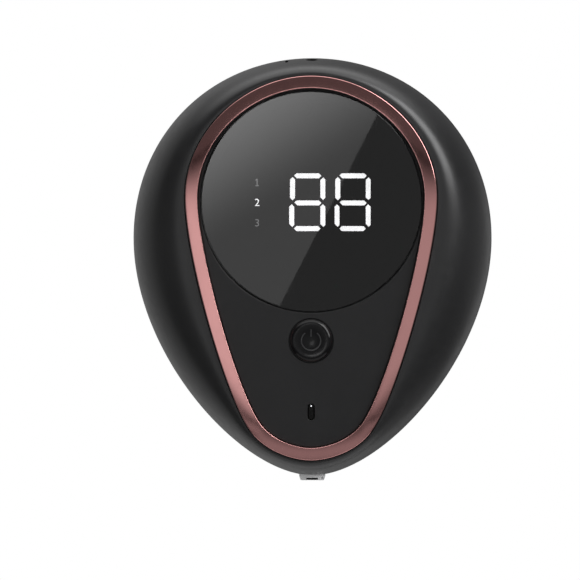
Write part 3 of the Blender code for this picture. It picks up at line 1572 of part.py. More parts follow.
def foam_line():
    """Foam tube from the pump head round to the foamer, which blends soap and air."""
    start = np.array(on_axis(HEAD_END + GAP))
    end = np.array((FOAMER_RADIUS + GAP, NOZZLE_DEPTH_PLACE, FOAMER_INLET_HEIGHT))
    fall = start[2] - end[2]
    high_share, middle_share, low_share = FOAM_FALL_SHARES
    out = np.array([1.0, 0.0, 0.0])
    route = [
        start,
        start + out * OUTLET_LENGTH / 2,
        start + out * OUTLET_LENGTH,
        np.array((FOAM_ROUTE_BEND, PUMP_DEPTH_PLACE, start[2] - fall * high_share)),
        np.array((FOAM_ROUTE_BEND, PUMP_DEPTH_PLACE, start[2] - fall * middle_share)),
        np.array((FOAM_ROUTE_BEND * FOAM_TURN_SHARE, PUMP_DEPTH_PLACE, start[2] - fall * low_share)),
        end + out * FOAMER_INLET_LENGTH * 2,
        end + out * FOAMER_INLET_LENGTH,
        end,
    ]
    points = smooth_route(route, FOAM_ROUTE_POINTS)
    made = tube("foam_tube", points, TUBE_RADIUS, SILICONE)
    longer = [points[0] - out * GAP * 2] + list(points) + [points[-1] - out * GAP * 2]
    cut(made, tube("foam_tube_bore", longer, TUBE_BORE))
    shade(made)


def foamer():
    """Mixing chamber with its mesh, above the nozzle that pokes out of the toe."""
    place = (0.0, NOZZLE_DEPTH_PLACE, 0.0)
    inlet_up = FOAMER_INLET_HEIGHT
    made = turned(
        "foamer_body",
        (
            (0.0, FOAMER_TOP),
            (FOAMER_RADIUS - GAP, FOAMER_TOP),
            (FOAMER_RADIUS, FOAMER_TOP - GAP),
            (FOAMER_RADIUS, FOAMER_END),
            (FOAMER_BORE, FOAMER_END),
            (FOAMER_BORE, FOAMER_SHOULDER),
            (FOAMER_CHAMBER, FOAMER_SHOULDER),
            (FOAMER_CHAMBER, FOAMER_TOP - PUMP_WALL),
            (0.0, FOAMER_TOP - PUMP_WALL),
        ),
        place,
        "Z",
        GREY_PLASTIC,
        steps=24,
    )
    pipe_end = FOAMER_RADIUS + FOAMER_INLET_LENGTH
    middle = (FOAMER_RADIUS + FOAMER_CHAMBER) / 2
    depth = NOZZLE_DEPTH_PLACE
    join(
        made,
        rod("foamer_pipe", (middle, depth, inlet_up), (pipe_end, depth, inlet_up), SPIGOT_RADIUS, sides=12),
    )
    cut(
        made,
        rod(
            "foamer_pipe_bore",
            (0.0, depth, inlet_up),
            (pipe_end + OVERRUN, depth, inlet_up),
            SPIGOT_BORE,
            sides=12,
        ),
    )
    mesh_low = NOZZLE_SPIGOT_TOP + GAP
    rod(
        "foam_mesh",
        (0.0, depth, mesh_low),
        (0.0, depth, mesh_low + MESH_THICK),
        NOZZLE_SPIGOT,
        STEEL,
        sides=24,
    )
    flange_low = NOZZLE_FLANGE_TOP - NOZZLE_FLANGE_THICK
    turned(
        "nozzle",
        (
            (NOZZLE_SPIGOT, NOZZLE_SPIGOT_TOP),
            (NOZZLE_SPIGOT, NOZZLE_FLANGE_TOP),
            (NOZZLE_FLANGE_RADIUS, NOZZLE_FLANGE_TOP),
            (NOZZLE_FLANGE_RADIUS, flange_low),
            (NOZZLE_TOP_RADIUS, flange_low),
            (NOZZLE_TOP_RADIUS, -TOE_DEPTH),
            (NOZZLE_TIP_RADIUS, NOZZLE_TIP),
            (NOZZLE_MOUTH, NOZZLE_TIP),
            (NOZZLE_MOUTH, flange_low),
            (FOAMER_CHAMBER, NOZZLE_SPIGOT_TOP),
        ),
        place,
        "Z",
        GREY_PLASTIC,
        steps=24,
        hollow=True,
    )
    turned(
        "nozzle_seal",
        (
            (NOZZLE_SPIGOT + GAP, NOZZLE_FLANGE_TOP + GAP),
            (NOZZLE_SPIGOT + GAP, FOAMER_END - GAP),
            (NOZZLE_FLANGE_RADIUS, FOAMER_END - GAP),
            (NOZZLE_FLANGE_RADIUS, NOZZLE_FLANGE_TOP + GAP),
        ),
        place,
        "Z",
        SILICONE,
        steps=24,
        hollow=True,
    )


def sensor():
    """Infrared pair that looks down through a dark window behind the nozzle."""
    depth = SENSOR_DEPTH_PLACE
    turned(
        "sensor_window",
        (
            (0.0, SENSOR_WINDOW_TOP),
            (SENSOR_WINDOW_RADIUS, SENSOR_WINDOW_TOP),
            (SENSOR_WINDOW_RADIUS, SENSOR_WINDOW_FACE + GAP),
            (SENSOR_WINDOW_RADIUS - GAP, SENSOR_WINDOW_FACE),
            (0.0, SENSOR_WINDOW_FACE),
        ),
        (0.0, depth, 0.0),
        "Z",
        GLOSS_BLACK,
        steps=20,
    )
    low = SENSOR_WINDOW_TOP + GAP
    for name, across in (("ir_emitter", -SENSOR_PITCH / 2), ("ir_receiver", SENSOR_PITCH / 2)):
        foot = (across, depth, low)
        top = (across, depth, SENSOR_LED_TOP)
        rod(name, foot, top, SENSOR_LED_RADIUS, GLOSS_BLACK, sides=12)
    block(
        "sensor_board",
        (-SENSOR_BOARD_HALF, depth - SENSOR_BOARD_DEPTH / 2, SENSOR_LED_TOP + GAP),
        (SENSOR_BOARD_HALF, depth + SENSOR_BOARD_DEPTH / 2, SENSOR_BOARD_TOP),
        BOARD_GREEN,
    )


def charging():
    """Reversible charge socket on its own small board, under a hinged silicone cover."""
    front = SOCKET_BACK - SOCKET_LENGTH
    low = CHARGE_HEIGHT - SOCKET_HALF_HEIGHT
    high = CHARGE_HEIGHT + SOCKET_HALF_HEIGHT
    socket = block(
        "charge_socket",
        (-SOCKET_HALF_WIDTH, front, low),
        (SOCKET_HALF_WIDTH, SOCKET_BACK, high),
        STEEL,
    )
    cut(
        socket,
        block(
            "socket_inside",
            (-SOCKET_HALF_WIDTH + SOCKET_WALL, front + SOCKET_LENGTH / 4, low + SOCKET_WALL),
            (SOCKET_HALF_WIDTH - SOCKET_WALL, OVERRUN, high - SOCKET_WALL),
        ),
    )
    board_front = SOCKET_BACK - CHARGE_BOARD_DEPTH
    block(
        "charge_board",
        (-CHARGE_BOARD_HALF, board_front, CHARGE_BOARD_TOP - CHARGE_BOARD_THICK),
        (CHARGE_BOARD_HALF, BACK - WALL - GAP, CHARGE_BOARD_TOP),
        BOARD_GREEN,
    )
    cover = block(
        "charge_cover",
        (-COVER_HALF_WIDTH, COVER_FLOOR, CHARGE_HEIGHT - COVER_HALF_HEIGHT),
        (COVER_HALF_WIDTH, COVER_FLOOR + COVER_THICK, CHARGE_HEIGHT + COVER_HALF_HEIGHT),
        SILICONE,
    )
    bevel(cover, GAP)


def wall_mount():
    """T-section bracket that the dispenser slides down onto, and the pad that fixes it to the wall."""
    half = BRACKET_HEIGHT / 2
    front = -PAD_THICK - GAP
    bracket = block(
        "wall_bracket",
        (-BRACKET_STEM_HALF, BRACKET_HEAD_BACK - BRACKET_HEAD_THICK / 2, -half),
        (BRACKET_STEM_HALF, front, half),
        GREY_PLASTIC,
    )
    head = block(
        "bracket_head",
        (-BRACKET_HEAD_HALF, BRACKET_HEAD_FRONT, -half),
        (BRACKET_HEAD_HALF, BRACKET_HEAD_BACK, half),
        edge=BRACKET_CORNER / 2,
    )
    join(bracket, head)
    block("adhesive_pad", (-BRACKET_STEM_HALF, -PAD_THICK, -half), (BRACKET_STEM_HALF, 0.0, half), FOAM_TAPE)


def filler_lid():
    """Lid that follows the top of the rear housing and turns on a pin at its back edge."""
    envelope = bowl(0.0, BACK_ROUND, PARTING, BACK, DOME_STEPS)
    skin = loft("lid_skin", envelope)
    made = block(
        "filler_lid",
        (-LID_HALF_WIDTH, LID_FRONT, LID_BOTTOM),
        (LID_HALF_WIDTH, LID_BACK, CROWN_HEIGHT + OVERRUN),
        CHARCOAL,
    )
    combine(made, skin, "INTERSECT")
    side = LID_HALF_WIDTH + OVERRUN
    cut(
        made,
        rod(
            "lid_bore",
            (-side, LID_AXIS_DEPTH, LID_AXIS_HEIGHT),
            (side, LID_AXIS_DEPTH, LID_AXIS_HEIGHT),
            LID_BORE_RADIUS,
            sides=8,
        ),
        block(
            "lid_notch",
            (-NOTCH_HALF, LID_FRONT - OVERRUN, CROWN_HEIGHT - 2 * NOTCH_DEPTH),
            (NOTCH_HALF, LID_FRONT + NOTCH_DEPTH, CROWN_HEIGHT + OVERRUN),
        ),
    )
    reach = LID_HALF_WIDTH + GAP + LID_PIN_REACH
    rod(
        "lid_hinge_pin",
        (-reach, LID_AXIS_DEPTH, LID_AXIS_HEIGHT),
        (reach, LID_AXIS_DEPTH, LID_AXIS_HEIGHT),
        LID_PIN_RADIUS,
        STEEL,
        sides=8,
    )
    seal_top = LID_BOTTOM - GAP
    rod(
        "lid_seal",
        (0.0, NECK_DEPTH_PLACE, seal_top - LID_SEAL_THICK),
        (0.0, NECK_DEPTH_PLACE, seal_top),
        LID_SEAL_RADIUS,
        SILICONE,
        sides=24,
    )


front_housing()
rear_housing()
housing_gasket()
trim_ring()
front_panel()
display_lens()
digit_mask()
digit_guides()
main_board()
power_button()
status_light()
inner_frame()
screws()
battery()
soap_tank()
soap_tube()
pump()
foam_line()
foamer()
sensor()
charging()
wall_mount()
filler_lid()
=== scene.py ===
"""Looks of the wall-mounted foam soap dispenser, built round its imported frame.

Metres, +Z up, front towards -Y, and the wall plane at Y = 0, as in the frame.
"""

import math

import bmesh
import bpy
import numpy as np
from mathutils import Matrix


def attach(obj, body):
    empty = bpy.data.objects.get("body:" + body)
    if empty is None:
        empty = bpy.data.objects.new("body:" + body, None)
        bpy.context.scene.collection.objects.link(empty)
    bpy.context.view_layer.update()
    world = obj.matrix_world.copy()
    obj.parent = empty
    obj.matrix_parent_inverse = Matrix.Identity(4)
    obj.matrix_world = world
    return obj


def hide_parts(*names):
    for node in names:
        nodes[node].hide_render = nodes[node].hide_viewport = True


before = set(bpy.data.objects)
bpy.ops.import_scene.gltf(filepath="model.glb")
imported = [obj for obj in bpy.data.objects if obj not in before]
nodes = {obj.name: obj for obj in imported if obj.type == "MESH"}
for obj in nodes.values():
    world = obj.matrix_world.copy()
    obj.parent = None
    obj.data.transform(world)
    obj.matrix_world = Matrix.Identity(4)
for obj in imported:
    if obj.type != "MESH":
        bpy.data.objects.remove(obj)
scene = bpy.context.scene
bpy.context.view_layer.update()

# The room: white all round, darker in front of the object, so that the glossy parts have something to
# mirror and the rim of the case stays light. The floor is a plain pale one, well under the object.

LOOKED_AT = np.array([-0.0080, -0.0270, -0.0184])
CAMERA_REACH = 8.0
CAMERA_SIDE = math.radians(1.0)
VIEW_WIDTH = 0.2057
SENSOR_WIDTH = 0.036
FLOOR_HEIGHT = -0.80
FLOOR_HALF = 0.9

camera_data = bpy.data.cameras.new("camera")
camera_data.sensor_width = SENSOR_WIDTH * 1000
camera_data.lens = SENSOR_WIDTH * 1000 * CAMERA_REACH / VIEW_WIDTH
camera_data.clip_start = 0.05
camera = bpy.data.objects.new("camera", camera_data)
camera.location = LOOKED_AT + CAMERA_REACH * np.array([math.sin(CAMERA_SIDE), -math.cos(CAMERA_SIDE), 0.0])
camera.rotation_euler = (math.pi / 2, 0.0, CAMERA_SIDE)
scene.collection.objects.link(camera)
scene.camera = camera
scene.view_settings.view_transform = "Standard"


def add(tree, kind, inputs=None, **settings):
    """Adds a shader node. An input, by name or number, is a value or another node's socket."""
    made = tree.nodes.new(kind)
    for key, value in settings.items():
        setattr(made, key, value)
    for key, value in (inputs or {}).items():
        if isinstance(value, bpy.types.NodeSocket):
            tree.links.new(value, made.inputs[key])
        else:
            made.inputs[key].default_value = value
    return made


def maths(tree, operation, first, second=0.0):
    """The result of one Math node: first and second taken together by the operation."""
    return add(tree, "ShaderNodeMath", {0: first, 1: second}, operation=operation).outputs[0]


def between(tree, value, low, high, start=0.0, end=1.0):
    """A value eased from start to end as it goes from low to high."""
    inputs = {"Value": value, "From Min": low, "From Max": high, "To Min": start, "To Max": end}
    return add(tree, "ShaderNodeMapRange", inputs, interpolation_type="SMOOTHSTEP").outputs["Result"]


# Strength of each part of the sky, and the sines of the direction between which it comes up or dies away.
FRONT_LIGHT = 0.11
AXIS_LIGHT = 0.35
AXIS_EDGE = (-0.995, -0.97)
LEFT_LIGHT = 0.30
RIGHT_LIGHT = 0.26
FAR_SIDE_LIGHT = 0.14
SIDE_EDGE = (0.20, 0.29)
SIDE_FALL = (0.42, 0.65)
SIDE_TOP = (0.02, 0.19)
SIDE_FOOT = (-0.30, -0.20)
LOW_LIGHT = 0.28
LOW_TOP = (-0.20, -0.33)
LOW_FOOT = (-0.50, -0.41)
LOW_SIDES = (0.26, 0.42)
TOP_LIGHT = 1.9
TOP_EDGE = (0.55, 0.90)
BACK_LIGHT = 0.26
BACK_EDGE = (-0.10, 0.35)
BACK_TURN = 0.3
BACK_AT_LEFT = 1.5
BACK_AT_RIGHT = -0.2

world = bpy.data.worlds.new("studio")
world.use_nodes = True
scene.world = world
sky = world.node_tree
sky.nodes.clear()
direction = add(sky, "ShaderNodeTexCoord").outputs["Generated"]
axes = add(sky, "ShaderNodeSeparateXYZ", {0: direction}).outputs
aside = maths(sky, "ABSOLUTE", axes["X"])
under_top = between(sky, axes["Z"], *SIDE_TOP, 1.0, 0.0)
middle = maths(sky, "MULTIPLY", under_top, between(sky, axes["Z"], *SIDE_FOOT))
left = maths(sky, "MULTIPLY", between(sky, axes["X"], -SIDE_EDGE[0], -SIDE_EDGE[1]), middle)
left_fall = between(sky, axes["X"], -SIDE_FALL[1], -SIDE_FALL[0], FAR_SIDE_LIGHT, LEFT_LIGHT)
left = maths(sky, "MULTIPLY", left, left_fall)
right = maths(sky, "MULTIPLY", between(sky, axes["X"], *SIDE_EDGE), middle)
right = maths(sky, "MULTIPLY", right, between(sky, axes["X"], *SIDE_FALL, RIGHT_LIGHT, FAR_SIDE_LIGHT))
low = between(sky, axes["Z"], *LOW_TOP, 0.0, LOW_LIGHT)
low = maths(sky, "MULTIPLY", low, between(sky, axes["Z"], *LOW_FOOT))
low = maths(sky, "MULTIPLY", low, between(sky, aside, *LOW_SIDES, 1.0, 0.0))
high = between(sky, axes["Z"], *TOP_EDGE, 0.0, TOP_LIGHT)
axis = between(sky, axes["Y"], *AXIS_EDGE, AXIS_LIGHT, 0.0)
behind = between(sky, axes["Y"], *BACK_EDGE, 0.0, BACK_LIGHT)
across = between(sky, axes["X"], -BACK_TURN, BACK_TURN, BACK_AT_LEFT, BACK_AT_RIGHT)
behind = maths(sky, "MULTIPLY", behind, across)
front = FRONT_LIGHT
for part in (left, right, low, high, axis):
    front = maths(sky, "ADD", part, front)
around = maths(sky, "MAXIMUM", front, behind)
seen = add(sky, "ShaderNodeLightPath").outputs["Is Camera Ray"]
strength = maths(sky, "MAXIMUM", around, seen)
background = add(sky, "ShaderNodeBackground", {"Color": (1.0, 1.0, 1.0, 1.0), "Strength": strength})
sky_out = add(sky, "ShaderNodeOutputWorld", {"Surface": background.outputs[0]})


def soft_light(name, place, side, height, power):
    """A rectangular softbox that faces the object and isn't seen by the camera."""
    data = bpy.data.lights.new(name, "AREA")
    data.shape = "RECTANGLE"
    data.size = side
    data.size_y = height
    data.energy = power
    made = bpy.data.objects.new(name, data)
    made.location = place
    aim = made.location.to_3d() * -1
    made.rotation_mode = "QUATERNION"
    made.rotation_quaternion = aim.to_track_quat("-Z", "Y")
    made.visible_camera = False
    scene.collection.objects.link(made)
    return made


KEY_PLACE = (1.05, -0.82, 0.82)
KEY_SIDE = 0.90
KEY_HEIGHT = 1.30
KEY_POWER = 24.0

soft_light("key_softbox", KEY_PLACE, KEY_SIDE, KEY_HEIGHT, KEY_POWER)


def plain_mesh(name, points, faces):
    """A mesh object at the origin, linked to the scene."""
    mesh = bpy.data.meshes.new(name)
    mesh.from_pydata(points, [], faces)
    made = bpy.data.objects.new(name, mesh)
    scene.collection.objects.link(made)
    return made


floor = plain_mesh(
    "floor",
    [(x * FLOOR_HALF, y * FLOOR_HALF, FLOOR_HEIGHT) for x, y in ((-1, -1), (1, -1), (1, 1), (-1, 1))],
    [(0, 1, 2, 3)],
)
floor_finish = bpy.data.materials.new("pale_floor")
floor_finish.use_nodes = True
tree = floor_finish.node_tree
place = add(tree, "ShaderNodeTexCoord").outputs["Object"]
speckle = add(tree, "ShaderNodeTexNoise", {"Vector": place, "Scale": 40.0, "Detail": 4.0}).outputs["Fac"]
floor_tone = between(tree, speckle, 0.3, 0.7, 0.50, 0.54)
tree.links.new(floor_tone, tree.nodes["Principled BSDF"].inputs["Base Color"])
tree.nodes["Principled BSDF"].inputs["Roughness"].default_value = 0.7
floor.data.materials.append(floor_finish)

# A softbox panel far in front of the object, whose slanted edge the flat lens mirrors as the split across
# the display. It is brightest at its upper left and fades towards that edge.

CARD_DEPTH = -1.6
CARD_EDGE = np.array([[0.0227, 0.0954], [-0.0593, -0.0654]])
CARD_WIDTH = 0.11
CARD_LOW = 1.25
CARD_HIGH = 4.6
GLOW_FROM = 0.0347
GLOW_TO = 0.0884
GLOW_RUN = np.array([-0.54, 0.0, 0.84])

edge_top, edge_foot = CARD_EDGE
edge_run = edge_top - edge_foot
edge_out = np.array([-edge_run[1], edge_run[0]]) / np.linalg.norm(edge_run)
corners = [edge_foot, edge_top, edge_top + edge_out * CARD_WIDTH, edge_foot + edge_out * CARD_WIDTH]
card = plain_mesh("reflection_card", [(x, CARD_DEPTH, z) for x, z in corners], [(0, 1, 2, 3)])
card_finish = bpy.data.materials.new("card_glow")
card_finish.use_nodes = True
tree = card_finish.node_tree
tree.nodes.clear()
place = add(tree, "ShaderNodeTexCoord").outputs["Object"]
away = add(tree, "ShaderNodeVectorMath", {0: place, 1: GLOW_RUN}, operation="DOT_PRODUCT").outputs["Value"]
glow = between(tree, away, GLOW_FROM, GLOW_TO, CARD_LOW, CARD_HIGH)
emission = add(tree, "ShaderNodeEmission", {"Strength": glow})
card_out = add(tree, "ShaderNodeOutputMaterial", {"Surface": emission.outputs[0]})
card.data.materials.append(card_finish)
card.visible_camera = False

# Three dim cards in front of the object. The upper one lightens the panel from its top down. The two at
# the sides are what the flanks of the metal ring mirror, so they fade out above and below those flanks.

UPPER_HALF = 0.10
UPPER_DEPTH = -0.50
UPPER_FOOT = 0.075
UPPER_TOP = 0.130
UPPER_GLOW = 2.4
FLANK_DEPTH = -0.35
FLANK_INNER = 0.095
FLANK_OUTER = 0.195
FLANK_FOOT = -0.128
FLANK_TOP = 0.080
FLANK_FADES = [(-0.124, -0.088), (0.075, -0.010)]
LEFT_GLOW = 1.05
RIGHT_GLOW = 0.62


def upright(start, end, depth, foot, top):
    """The corners of a rectangle that stands across the view, from one x to another at a depth."""
    return [(start, depth, foot), (end, depth, foot), (end, depth, top), (start, depth, top)]


def glow_card(name, corners, strength, fades=()):
    """An emissive quad that the camera doesn't see. Each fade is (dark, bright) along the height."""
    made = plain_mesh(name, corners, [(0, 1, 2, 3)])
    finish = bpy.data.materials.new(name + "_glow")
    finish.use_nodes = True
    tree = finish.node_tree
    tree.nodes.clear()
    emission = add(tree, "ShaderNodeEmission")
    if fades:
        axes = add(tree, "ShaderNodeSeparateXYZ", {0: add(tree, "ShaderNodeTexCoord").outputs["Object"]}).outputs
        level = strength
        for dark, bright in fades:
            low, high = min(dark, bright), max(dark, bright)
            ends = (0.0, 1.0) if dark < bright else (1.0, 0.0)
            level = maths(tree, "MULTIPLY", between(tree, axes["Z"], low, high, *ends), level)
        tree.links.new(level, emission.inputs["Strength"])
    else:
        emission.inputs["Strength"].default_value = strength
    add(tree, "ShaderNodeOutputMaterial", {"Surface": emission.outputs[0]})
    made.data.materials.append(finish)
    made.visible_camera = False
    return made


glow_card("upper_card", upright(-UPPER_HALF, UPPER_HALF, UPPER_DEPTH, UPPER_FOOT, UPPER_TOP), UPPER_GLOW)
for name, side, strength in (("left_card", -1, LEFT_GLOW), ("right_card", 1, RIGHT_GLOW)):
    corners = upright(side * FLANK_INNER, side * FLANK_OUTER, FLANK_DEPTH, FLANK_FOOT, FLANK_TOP)
    glow_card(name, corners, strength, FLANK_FADES)

# The two halves of the case: injection-moulded, spark-eroded charcoal plastic. The front one is a dome that
# rolls from the ring's recess to the widest outline, and the rear one is a bowl that rolls in to a flat back.

HALF_WIDTH = 0.06349
CROWN_HEIGHT = 0.0638
TOE_DEPTH = 0.0841
CREST = -0.0583
PARTING = -0.027
BACK = -0.0015
BACK_ROUND = 0.0105
WALL = 0.0022
GAP = 0.0003
RECESS_LIP = 0.0012
FLANGE_FRONT = -0.0549
FLANGE_BACK = -0.0530
FLANGE_WIDTH = 0.0060
REBATE_WIDTH = 0.0010
REBATE_DEPTH = 0.0007
DOME_FULLNESS = 0.85
SOFT_EDGE = 0.00018
ROUND_COUNT = 420
ROLL_STEPS = 44
ROLL_START = 0.004
CROWN_HANDLE = 0.565
SHOULDER_HANDLE = 0.575
FLANK_HANDLE = 0.494
TOE_HANDLE = 0.394


def bezier(start, first, second, end, count=240):
    """Cubic curve: (1-t)^3 start + 3 (1-t)^2 t first + 3 (1-t) t^2 second + t^3 end, for t from 0 to 1."""
    t = np.linspace(0.0, 1.0, count)[:, None]
    start, first, second, end = (np.array(point) for point in (start, first, second, end))
    return (1 - t) ** 3 * start + 3 * (1 - t) ** 2 * t * first + 3 * (1 - t) * t**2 * second + t**3 * end


CASE_HALF = np.concatenate(
    [
        bezier(
            (0.0, CROWN_HEIGHT),
            (CROWN_HANDLE * HALF_WIDTH, CROWN_HEIGHT),
            (HALF_WIDTH, SHOULDER_HANDLE * CROWN_HEIGHT),
            (HALF_WIDTH, 0.0),
        ),
        bezier(
            (HALF_WIDTH, 0.0),
            (HALF_WIDTH, -FLANK_HANDLE * TOE_DEPTH),
            (TOE_HANDLE * HALF_WIDTH, -TOE_DEPTH),
            (0.0, -TOE_DEPTH),
        )[1:],
    ]
)

RING_TOP = 0.0573
RING_HALF_WIDTH = 0.0445
RING_WIDEST = 0.0143
RING_FOOT = np.array([0.0217, -0.0679])
RING_TOE = -0.0786
RING_SLOPE = math.radians(55)
RING_FLANK = np.array([math.cos(RING_SLOPE), math.sin(RING_SLOPE)])
RING_FALL = RING_WIDEST - RING_FOOT[1]
RING_DROP = RING_FOOT[1] - RING_TOE
RING_CROWN_HANDLE = 0.504
RING_SHOULDER_HANDLE = 0.559
RING_FLANK_HANDLE = 0.247
RING_FOOT_HANDLE = 0.184
RING_CORNER_HANDLE = 0.912
RING_TOE_HANDLE = 0.265

RING_HALF = np.concatenate(
    [
        bezier(
            (0.0, RING_TOP),
            (RING_CROWN_HANDLE * RING_HALF_WIDTH, RING_TOP),
            (RING_HALF_WIDTH, RING_WIDEST + RING_SHOULDER_HANDLE * (RING_TOP - RING_WIDEST)),
            (RING_HALF_WIDTH, RING_WIDEST),
        ),
        bezier(
            (RING_HALF_WIDTH, RING_WIDEST),
            (RING_HALF_WIDTH, RING_WIDEST - RING_FLANK_HANDLE * RING_FALL),
            RING_FOOT + RING_FLANK * RING_FOOT_HANDLE * RING_FALL,
            RING_FOOT,
        )[1:],
        bezier(
            RING_FOOT,
            RING_FOOT - RING_FLANK * RING_CORNER_HANDLE * RING_DROP,
            (RING_TOE_HANDLE * RING_FOOT[0], RING_TOE),
            (0.0, RING_TOE),
        )[1:],
    ]
)
OUTLINE_CENTRE = -0.06 * TOE_DEPTH


def outline_angles(count):
    """Angles about the outline's centre, from the top, clockwise. They are even in the run of the ring's
    half outline, which is its length share plus its turning share, and mirrored for the left half."""
    steps = np.diff(RING_HALF, axis=0)
    lengths = np.linalg.norm(steps, axis=1)
    headings = np.unwrap(np.arctan2(steps[:, 1], steps[:, 0]))
    turning = np.abs(np.diff(headings, prepend=headings[0]))
    run = np.concatenate([[0.0], np.cumsum(lengths / lengths.sum() + 0.5 * turning / turning.sum())])
    even = np.linspace(0.0, run[-1], count // 2 + 1)
    across = np.interp(even, run, RING_HALF[:, 0])
    up = np.interp(even, run, RING_HALF[:, 1]) - OUTLINE_CENTRE
    right = np.arctan2(across, up)
    return np.concatenate([right, 2 * math.pi - right[-2:0:-1]])


ANGLES = outline_angles(ROUND_COUNT)


def outline(half, inset):
    """The whole outline moved inwards along its normals by the inset, then read at the fixed angles: its
    distance from the centre is interpolated over the angle, and (x, z) = distance (sin, cos) of the angle."""
    whole = np.concatenate([half, half[-2:0:-1] * [-1.0, 1.0]])
    ahead = np.roll(whole, -1, axis=0) - np.roll(whole, 1, axis=0)
    inward = np.stack([ahead[:, 1], -ahead[:, 0]], axis=1)
    moved = whole + inset * inward / np.linalg.norm(inward, axis=1)[:, None]
    rise = moved[:, 1] - OUTLINE_CENTRE
    turn = np.mod(np.arctan2(moved[:, 0], rise), 2 * math.pi)
    order = np.argsort(turn)
    reach = np.interp(ANGLES, turn[order], np.hypot(moved[:, 0], rise)[order], period=2 * math.pi)
    return np.stack([reach * np.sin(ANGLES), OUTLINE_CENTRE + reach * np.cos(ANGLES)], axis=1)


def at_depth(points, depth):
    """(x, z) points at a depth y."""
    return np.stack([points[:, 0], np.full(len(points), depth), points[:, 1]], axis=1)


def closed(grid, endless=False):
    """Points, quads and fans of the closed body through a grid. Point j of row i joins point j + 1 and row
    i + 1, and the points of a row run round. An endless grid joins its last row to its first, and otherwise
    a fan from the middle of each end row closes it. Where the enclosed volume, the sum of a . (b x c) / 6,
    is negative, the faces turn over."""
    rows, count = grid.shape[:2]
    points = grid.reshape(-1, 3)
    here = np.arange(rows * count).reshape(rows, count)
    if endless:
        low, high = here, np.roll(here, -1, axis=0)
    else:
        low, high = here[:-1], here[1:]
    beside = np.roll(low, -1, axis=1), np.roll(high, -1, axis=1)
    quads = np.stack([low, beside[0], beside[1], high], axis=-1).reshape(-1, 4)
    fans = np.empty((0, 3), int)
    if not endless:
        points = np.concatenate([points, [grid[0].mean(axis=0), grid[-1].mean(axis=0)]])
        first, last = here[0], here[-1]
        start = np.stack([np.full(count, len(points) - 2), np.roll(first, -1), first], axis=1)
        end = np.stack([np.full(count, len(points) - 1), last, np.roll(last, -1)], axis=1)
        fans = np.concatenate([start, end])
    triangles = np.concatenate([quads[:, [0, 1, 2]], quads[:, [0, 2, 3]], fans])
    a, b, c = (points[triangles[:, k]] for k in range(3))
    if np.einsum("ij,ij->i", a, np.cross(b, c)).sum() < 0:
        quads = quads[:, ::-1]
        fans = fans[:, ::-1]
    return points, quads, fans


def joined(name, grids, endless=False):
    """One mesh object out of closed grids that don't touch: their points follow each other, and each body's
    faces are counted on from the points before it."""
    points, faces = [], []
    start = 0
    for grid in grids:
        body, quads, fans = closed(grid, endless)
        points.append(body)
        faces += (quads + start).tolist() + (fans + start).tolist()
        start += len(body)
    return plain_mesh(name, np.concatenate(points), faces)


def skin(name, grid, endless=False):
    """The closed body through one grid, as a mesh object."""
    return joined(name, [grid], endless)


def turned(profile, place, axis, count=96):
    """A profile of (radius r, height h) turned about an axis: place + r cos a side + r sin a up + h axis."""
    turn = np.linspace(0.0, 2 * math.pi, count, endpoint=False)
    radius, height = np.array(profile, float).T
    side, up, along = {"X": (1, 2, 0), "Y": (2, 0, 1), "Z": (0, 1, 2)}[axis]
    grid = np.zeros((len(radius), count, 3))
    grid[..., side] = radius[:, None] * np.cos(turn)
    grid[..., up] = radius[:, None] * np.sin(turn)
    grid[..., along] = height[:, None]
    return grid + np.array(place)


def eased(profile, radius, steps=4):
    """A polyline with each inner corner replaced by the curve (1-t)^2 before + 2 (1-t) t corner + t^2 after,
    whose ends lie the radius, or at most 0.45 of a side, from the corner."""
    profile = np.array(profile, float)
    t = np.linspace(0.0, 1.0, steps)[:, None]
    made = [profile[:1]]
    for before, corner, after in zip(profile, profile[1:], profile[2:]):
        ends = []
        for other in (before, after):
            length = np.linalg.norm(other - corner)
            ends.append(corner + (other - corner) * min(radius / length, 0.45))
        made.append((1 - t) ** 2 * ends[0] + 2 * (1 - t) * t * corner + t**2 * ends[1])
    return np.concatenate(made + [profile[-1:]])


def drum(start, end, radius, count=48):
    """A cylinder along one axis, as a grid of two rows at its ends, which closed() shuts with a fan at each end."""
    start, end = np.array(start, float), np.array(end, float)
    axis = "XYZ"[int(np.abs(end - start).argmax())]
    length = float((end - start).sum())
    return turned([(radius, 0.0), (radius, length)], start, axis, count)


def block(low, high):
    """A box between two corners, as a grid of two rectangles."""
    x0, y0, z0 = low
    x1, y1, z1 = high
    return np.array([[(x0, y, z0), (x1, y, z0), (x1, y, z1), (x0, y, z1)] for y in (y0, y1)])


MERGE_WITHIN = 2e-6
FLAT_WITHIN = math.radians(0.05)


def carved(piece, operation, *grids):
    """The piece after one Boolean with all the given closed grids, which don't touch each other. Points
    nearer than the merging distance become one, and faces that lie in one plane become one."""
    whole = joined("tools", grids)
    boolean = piece.modifiers.new("carve", "BOOLEAN")
    boolean.operation = operation
    boolean.solver = "MANIFOLD"
    boolean.object = whole
    graph = bpy.context.evaluated_depsgraph_get()
    mesh = bpy.data.meshes.new_from_object(piece.evaluated_get(graph))
    shape = bmesh.new()
    shape.from_mesh(mesh)
    bmesh.ops.remove_doubles(shape, verts=shape.verts, dist=MERGE_WITHIN)
    bmesh.ops.dissolve_degenerate(shape, edges=shape.edges, dist=MERGE_WITHIN)
    bmesh.ops.dissolve_limit(shape, angle_limit=FLAT_WITHIN, verts=shape.verts, edges=shape.edges)
    shape.to_mesh(mesh)
    shape.free()
    piece.modifiers.clear()
    piece.data = mesh
    mesh.name = piece.name
    bpy.data.objects.remove(whole)
    return piece


